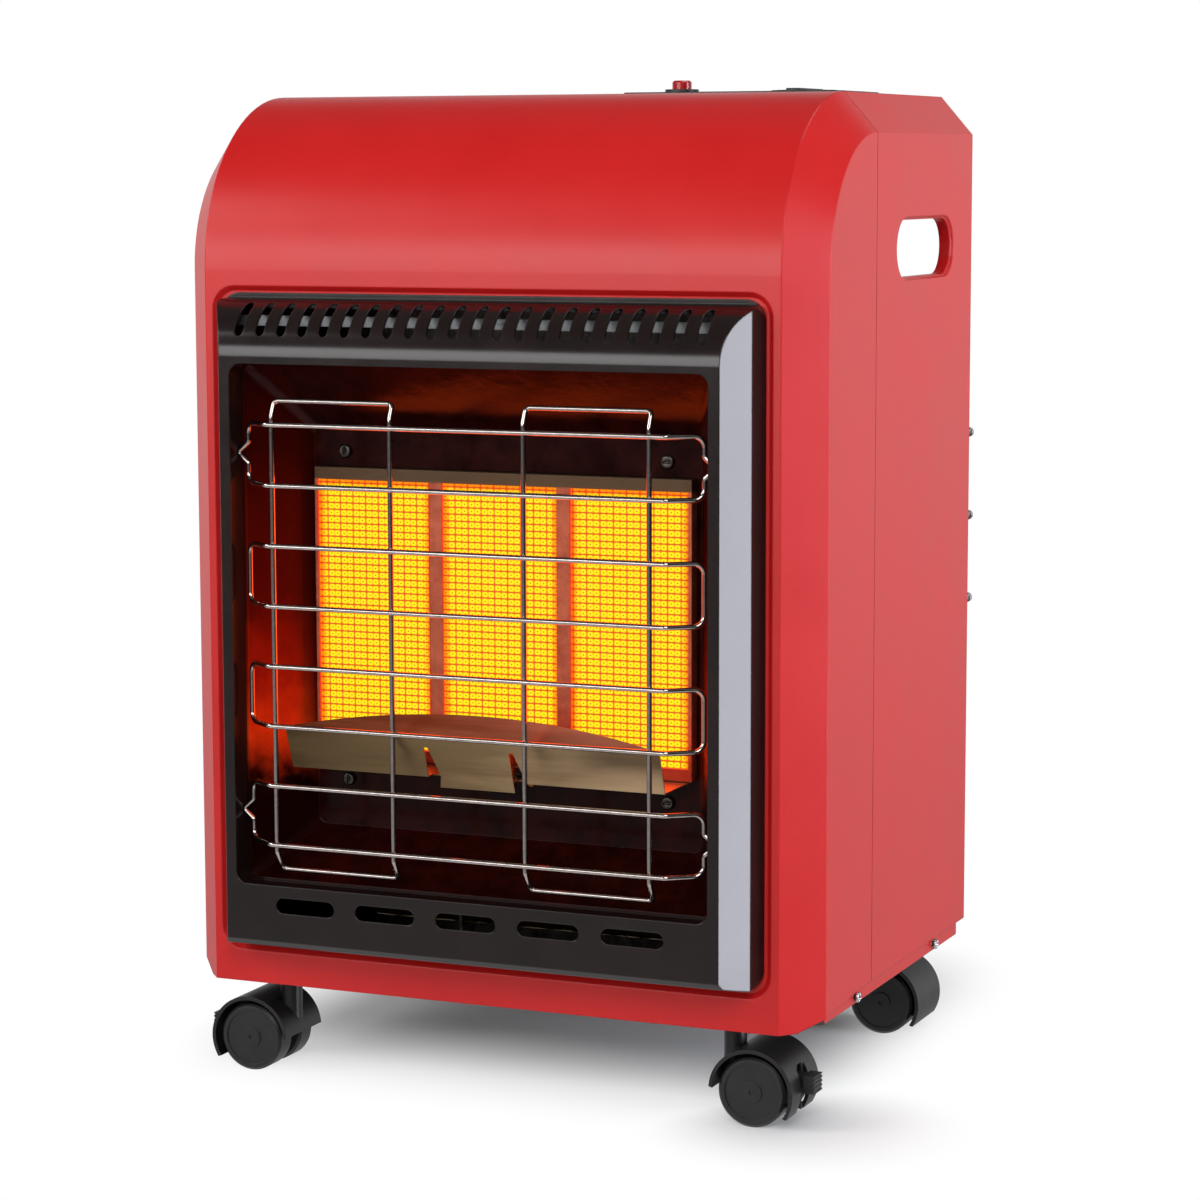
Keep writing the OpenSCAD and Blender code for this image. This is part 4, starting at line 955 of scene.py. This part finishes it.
# %% Screw heads on the heater
# No two screws stop at the same angle, so each head is turned by a share of its place.
QUARTER = math.pi / 2
LARGE_MM, SMALL_MM = 2.4, 1.8
FIREBOX_X, FIREBOX_Z = (-101, 101), (177, 370)
low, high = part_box("firebox_screws")
slotted = screw_head(width=0.008, height=0.0024, slot_width=0.0012, slots=[QUARTER / 2])
front = low.y * 1000 + LARGE_MM
places = [stood((0, -1, 0), (x, front, z), x / 40) for x in FIREBOX_X for z in FIREBOX_Z]
heads = add_piece("firebox_screw_heads", copies(slotted, places), dark_steel)
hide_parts("firebox_screws")

CASING_Y, CASING_Z = (-60, 85), 63
low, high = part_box("casing_screws")
crossed = screw_head(width=0.006, height=0.0018, slot_width=0.0011, slots=[0, QUARTER])
outer = high.x * 1000 - SMALL_MM
places = [stood((s, 0, 0), (s * outer, y, CASING_Z), y / 30) for s in (-1, 1) for y in CASING_Y]
heads = add_piece("casing_screw_heads", copies(crossed, places), zinc_steel)
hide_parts("casing_screws")

BACK_X, BACK_Z = (-190.5, 190.5), (87, 247.5, 428)
low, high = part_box("back_screws")
crossed = screw_head(width=0.008, height=0.0024, slot_width=0.0014, slots=[0, QUARTER])
rear = high.y * 1000 - LARGE_MM
places = [stood((0, 1, 0), (x, rear, z), z / 50) for x in BACK_X for z in BACK_Z]
heads = add_piece("back_screw_heads", copies(crossed, places), zinc_steel)
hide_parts("back_screws")
print("made 14 screw heads, the last of", len(crossed.polygons), "faces")

# %% [markdown]
# ## Weld beads
#
# The guard's wires are spot welded where they cross, and the metal squeezed out sets as
# a small flat bead under the chrome. Thirty-two beads of a full sphere would be more
# faces than they are worth, so each starts from a coarse icosphere, flattened, and
# smooth shading hides that it is coarse.

# %% Weld beads where the wires cross
BEAD_HALF = (0.0019, 0.0011, 0.0019)
UPRIGHTS_MM = (-120, -45, 37, 112)
LOWEST_MM, WIRE_STEP_MM, CROSSINGS = 146.5, 34.6, 8
WELDS_Y = -0.1645
bm = bmesh.new()
bmesh.ops.create_icosphere(bm, subdivisions=1, radius=1.0)
bmesh.ops.scale(bm, vec=BEAD_HALF, verts=bm.verts)
bead = to_mesh(bm)
heights = [LOWEST_MM + WIRE_STEP_MM * i for i in range(CROSSINGS)]
beads = [Matrix.Translation((x / 1000, WELDS_Y, z / 1000)) for x in UPRIGHTS_MM for z in heights]
add_piece("weld_beads", copies(bead, beads), chrome)
print("made", len(beads), "weld beads")

# %% [markdown]
# ## Marks of the dial
#
# Seven strokes are printed round the knob's dish, every third one longer, and a line on
# the knob points at them. They could be painted by a mask in the plate's material, but a
# stroke with a body of its own keeps a crisp edge from near by. One stroke of a unit
# size is bevelled once, and a scale makes each mark from it.

# %% Marks on the knob and round its dish
# The strokes are sunk a tenth of a millimetre, so that no gap shows under them.
KNOB_X_MM, KNOB_Y_MM, STROKES_Z_MM = 127, 40, 576.4
FIRST_DEGREES, STEP_DEGREES, STROKES = 120, 40, 7
FROM_KNOB, SHORT, LONG, WIDE, THICK = 0.0348, 0.0034, 0.005, 0.0011, 0.0002
POINTER_SIZE, POINTER_INWARDS, POINTER_SUNK = (0.0012, 0.011, 0.0001, 1), 0.007, 0.0001
bm = bmesh.new()
bmesh.ops.create_grid(bm, x_segments=1, y_segments=1, size=0.5)
extruded(bm, list(bm.faces), (0, 0, 1))
bmesh.ops.bevel(
    bm,
    geom=list(bm.edges),
    offset=0.12,
    segments=2,
    profile=0.5,
    affect="EDGES",
    material=-1,
)
stroke = to_mesh(bm)
knob_at = Matrix.Translation(Vector((KNOB_X_MM, KNOB_Y_MM, STROKES_Z_MM)) / 1000)
marks = []
for i in range(STROKES):
    angle = math.radians(FIRST_DEGREES + STEP_DEGREES * i)
    length = SHORT if i % 3 else LONG
    outwards = Matrix.Rotation(angle, 4, "Z") @ Matrix.Translation((FROM_KNOB, 0, 0))
    marks.append(knob_at @ outwards @ Matrix.Diagonal((length, WIDE, THICK, 1)))
add_piece("dial_marks", copies(stroke, marks), white_ink)
low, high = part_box("knob")
on_knob = (KNOB_X_MM / 1000, low.y + POINTER_INWARDS, high.z - POINTER_SUNK)
pointer = Matrix.Translation(on_knob) @ Matrix.Diagonal(POINTER_SIZE)
add_piece("knob_pointer", copies(stroke, [pointer]), white_ink, body="knob")
print("made", len(marks), "dial marks and the pointer")

# %% [markdown]
# ## Thread of the gas inlet
#
# The hose screws onto a male thread at the back. The Screw modifier could wind it, but
# the spin operator does the same in one call and leaves a plain mesh: it carries a
# four-cornered ridge round the axis and moves it on by a little at each step. The ridge
# lies partly inside the fitting, so the two look like one piece.

# %% Thread of the gas inlet
RADIUS, PITCH, TURNS, STEPS = 0.0079, 0.0018, 8, 24
RIDGE, RIDGE_SUNK, PLAIN_END = PITCH * 0.36, PITCH * 0.30, 0.0012
low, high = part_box("gas_inlet")
middle = Vector(((low.x + high.x) / 2, 0, (low.z + high.z) / 2))
start = middle + Vector((RADIUS - RIDGE_SUNK, high.y - PLAIN_END - PITCH * TURNS, 0))
bm = bmesh.new()
ridge = bmesh.ops.create_circle(bm, segments=4, radius=RIDGE)["verts"]
bmesh.ops.rotate(bm, cent=(0, 0, 0), matrix=Matrix.Rotation(QUARTER, 3, "Z"), verts=ridge)
bmesh.ops.translate(bm, vec=start, verts=ridge)
bmesh.ops.spin(
    bm,
    geom=list(bm.verts) + list(bm.edges),
    cent=middle,
    axis=(0, 1, 0),
    dvec=(0, PITCH / STEPS, 0),
    angle=2 * math.pi * TURNS,
    steps=STEPS * TURNS,
)
add_piece("inlet_thread", to_mesh(bm), brass)
print("made the thread:", TURNS, "turns")

# %% [markdown]
# ## The floor
#
# The heater stands on a white floor that keeps its shadow. A lit floor of one colour
# would show where it ends. Here it is matt near the heater, and fades further off, for
# the camera alone, into the same plain white as the walls. The distance is measured from
# a rectangle under the cabinet, or from the front right wheel where that is nearer,
# because its shadow falls outside the rectangle. Glossy rays pass the floor, so that the
# lamps and walls reach below it in reflections.

# %% Floor
SEEN_WHITE, BOUNCED_WHITE = 0.85, 0.7
bm = bmesh.new()
bmesh.ops.create_grid(bm, x_segments=1, y_segments=1, size=6)
floor_mesh = bpy.data.meshes.new("studio_floor")
bm.to_mesh(floor_mesh)
bm.free()
floor = bpy.data.objects.new("studio_floor", floor_mesh)
bpy.context.scene.collection.objects.link(floor)
floor.visible_glossy = False
white = bpy.data.materials.new("studio_white")
white.use_nodes = True
white.node_tree.nodes.clear()
seen = add_node(white, "ShaderNodeLightPath").outputs["Is Camera Ray"]
level = add_node(
    white, "ShaderNodeMapRange", Value=seen, To_Min=BOUNCED_WHITE, To_Max=SEEN_WHITE
)
matt = add_node(white, "ShaderNodeBsdfDiffuse", Color=level.outputs[0])
floor_mesh.materials.append(white)
print("made", floor.name)

# %% Distance from the shadow, and the floor's fading
SHADOW_AT, SHADOW_HALF, SHADOW_FADE = (-0.025, 0.1, 0), (0.135, 0.07, 0), (0.1, 0.2, 1)
WHEEL_AT, WHEEL_FADE = (0.185, -0.115, 0), 0.1
worth = {"place": add_node(white, "ShaderNodeTexCoord").outputs["Object"]}
REACHES = (
    ("off_middle", "SUBTRACT", "place", SHADOW_AT),
    ("mirrored", "ABSOLUTE", "off_middle"),
    ("past_edge", "SUBTRACT", "mirrored", SHADOW_HALF),
    ("outside", "MAXIMUM", "past_edge", (0, 0, 0)),
    ("in_fades", "DIVIDE", "outside", SHADOW_FADE),
)
for result, operation, *terms in REACHES:
    numbered = {f"_{i}": worth.get(term, term) for i, term in enumerate(terms)}
    reach = add_node(white, "ShaderNodeVectorMath", {"operation": operation}, **numbered)
    worth[result] = reach.outputs[0]
away = add_node(white, "ShaderNodeVectorMath", {"operation": "LENGTH"}, _0=worth["in_fades"])
to_wheel = add_node(
    white, "ShaderNodeVectorMath", {"operation": "DISTANCE"}, _0=worth["place"], _1=WHEEL_AT
)
wheel_away = add_node(
    white,
    "ShaderNodeMath",
    {"operation": "DIVIDE"},
    _0=to_wheel.outputs["Value"],
    _1=WHEEL_FADE,
)
nearest = add_node(
    white,
    "ShaderNodeMath",
    {"operation": "MINIMUM"},
    _0=away.outputs["Value"],
    _1=wheel_away.outputs[0],
)
fade = add_node(white, "ShaderNodeMapRange", SMOOTH, Value=nearest.outputs[0])
faded = add_node(
    white, "ShaderNodeMath", {"operation": "MULTIPLY"}, _0=fade.outputs[0], _1=seen
)
plain = add_node(white, "ShaderNodeEmission")
mixed = add_node(
    white,
    "ShaderNodeMixShader",
    _0=faded.outputs[0],
    _1=matt.outputs[0],
    _2=plain.outputs[0],
)
add_node(white, "ShaderNodeOutputMaterial", Surface=mixed.outputs[0])
print("made", white.name)

# %% [markdown]
# ## The walls
#
# Gloss shows what stands round the heater, so the studio is what gives paint and chrome
# their look. Real walls would be planes that shade each other. The world's background
# needs none: its strength is a smooth function of the direction. The camera sees plain
# white all round. Other rays find pale walls behind the heater, darker ones in front, a
# dark ceiling, a bright bounce from below, and a dark flag to the front right that keeps
# the bevel there deep red.

# %% Strength of the walls
# Each step goes from one strength to the next between two values of the direction.
FRONT_WALL, BACK_WALL, WALLS_TURN = 0.15, 0.8, (-0.1, 0.4)
CEILING, CEILING_STARTS = 0.12, (0.15, 0.6)
LOW_WALL, BOUNCE, BOUNCE_ENDS = 0.5, 0.85, (-0.7, -0.4)
HORIZON = (-0.2, -0.07)
world = bpy.data.worlds.new("studio_world")
bpy.context.scene.world = world
world.use_nodes = True
world.node_tree.nodes.clear()
direction = add_node(world, "ShaderNodeTexCoord").outputs["Generated"]
towards = add_node(world, "ShaderNodeSeparateXYZ", Vector=direction)
round_wall = add_node(
    world,
    "ShaderNodeMapRange",
    SMOOTH,
    Value=towards.outputs["Y"],
    From_Min=WALLS_TURN[0],
    From_Max=WALLS_TURN[1],
    To_Min=FRONT_WALL,
    To_Max=BACK_WALL,
)
wall = add_node(
    world,
    "ShaderNodeMapRange",
    SMOOTH,
    Value=towards.outputs["Z"],
    From_Min=CEILING_STARTS[0],
    From_Max=CEILING_STARTS[1],
    To_Min=round_wall.outputs[0],
    To_Max=CEILING,
)
below = add_node(
    world,
    "ShaderNodeMapRange",
    SMOOTH,
    Value=towards.outputs["Z"],
    From_Min=BOUNCE_ENDS[0],
    From_Max=BOUNCE_ENDS[1],
    To_Min=BOUNCE,
    To_Max=LOW_WALL,
)
round_all = add_node(
    world,
    "ShaderNodeMapRange",
    SMOOTH,
    Value=towards.outputs["Z"],
    From_Min=HORIZON[0],
    From_Max=HORIZON[1],
    To_Min=below.outputs[0],
    To_Max=wall.outputs[0],
)
print("walls ready")

# %% Flag, and what the camera sees
FLAG_TOWARDS, FLAG_EDGE, FLAG_DARK = (0.9, -0.42, -0.1), (0.8, 0.97), 0.15
to_flag = add_node(
    world, "ShaderNodeVectorMath", {"operation": "DOT_PRODUCT"}, _0=direction, _1=FLAG_TOWARDS
)
flag = add_node(
    world,
    "ShaderNodeMapRange",
    SMOOTH,
    Value=to_flag.outputs["Value"],
    From_Min=FLAG_EDGE[0],
    From_Max=FLAG_EDGE[1],
    To_Min=1.0,
    To_Max=FLAG_DARK,
)
lit = add_node(
    world,
    "ShaderNodeMath",
    {"operation": "MULTIPLY"},
    _0=round_all.outputs[0],
    _1=flag.outputs[0],
)
rays = add_node(world, "ShaderNodeLightPath")
through = add_node(
    world,
    "ShaderNodeMath",
    {"operation": "MAXIMUM"},
    _0=rays.outputs["Is Camera Ray"],
    _1=rays.outputs["Is Transmission Ray"],
)
strength = add_node(
    world,
    "ShaderNodeMix",
    {"data_type": "FLOAT"},
    Factor=through.outputs[0],
    _2=lit.outputs[0],
    _3=1.0,
)
sky = add_node(world, "ShaderNodeBackground", Color=(1, 1, 1, 1), Strength=strength.outputs[0])
add_node(world, "ShaderNodeOutputWorld", Surface=sky.outputs[0])
print("made", world.name)

# %% [markdown]
# ## Lamps
#
# A sun lamp would throw hard shadows and leave pinpoint highlights on the paint. Soft
# rectangular lamps give broad ones that show how the sheet is formed. A wide low panel
# in front lights the surround and the visor's roll, the key lamp comes from the left,
# the fill lamp from high at the right, a tall cool strip beside the cabinet shapes its
# side, and a weak lamp above and behind parts its top from the walls.


# %% Lamps
LOOK_AT = (0, 0, 0.3)
WHITE, COOL = "#FFFFFF", "#F0F2FF"


def soft_lamp(name, place, width, height, watts, tint=WHITE):
    """A rectangular lamp that faces the heater's middle."""
    data = bpy.data.lights.new(name, "AREA")
    data.shape = "RECTANGLE"
    data.size, data.size_y = width, height
    data.energy = watts
    data.color = linear(tint)[:3]
    lamp = bpy.data.objects.new(name, data)
    lamp.location = place
    lamp.rotation_mode = "QUATERNION"
    lamp.rotation_quaternion = (Vector(place) - Vector(LOOK_AT)).to_track_quat("Z", "Y")
    bpy.context.scene.collection.objects.link(lamp)


soft_lamp("front_panel", (-1.0, -3.0, 0.87), width=2.3, height=0.8, watts=32)
soft_lamp("key_lamp", (-2.2, -1.6, 1.7), width=1.2, height=1.2, watts=32)
soft_lamp("fill_lamp", (1.3, -2.6, 2.0), width=1.4, height=1.2, watts=44)
soft_lamp("side_strip", (2.3, 0.15, 0.25), width=0.62, height=1.7, watts=52, tint=COOL)
soft_lamp("top_lamp", (0.6, 0.6, 2.6), width=1.2, height=1.2, watts=15)
scene = bpy.context.scene
scene.view_settings.view_transform = "Standard"
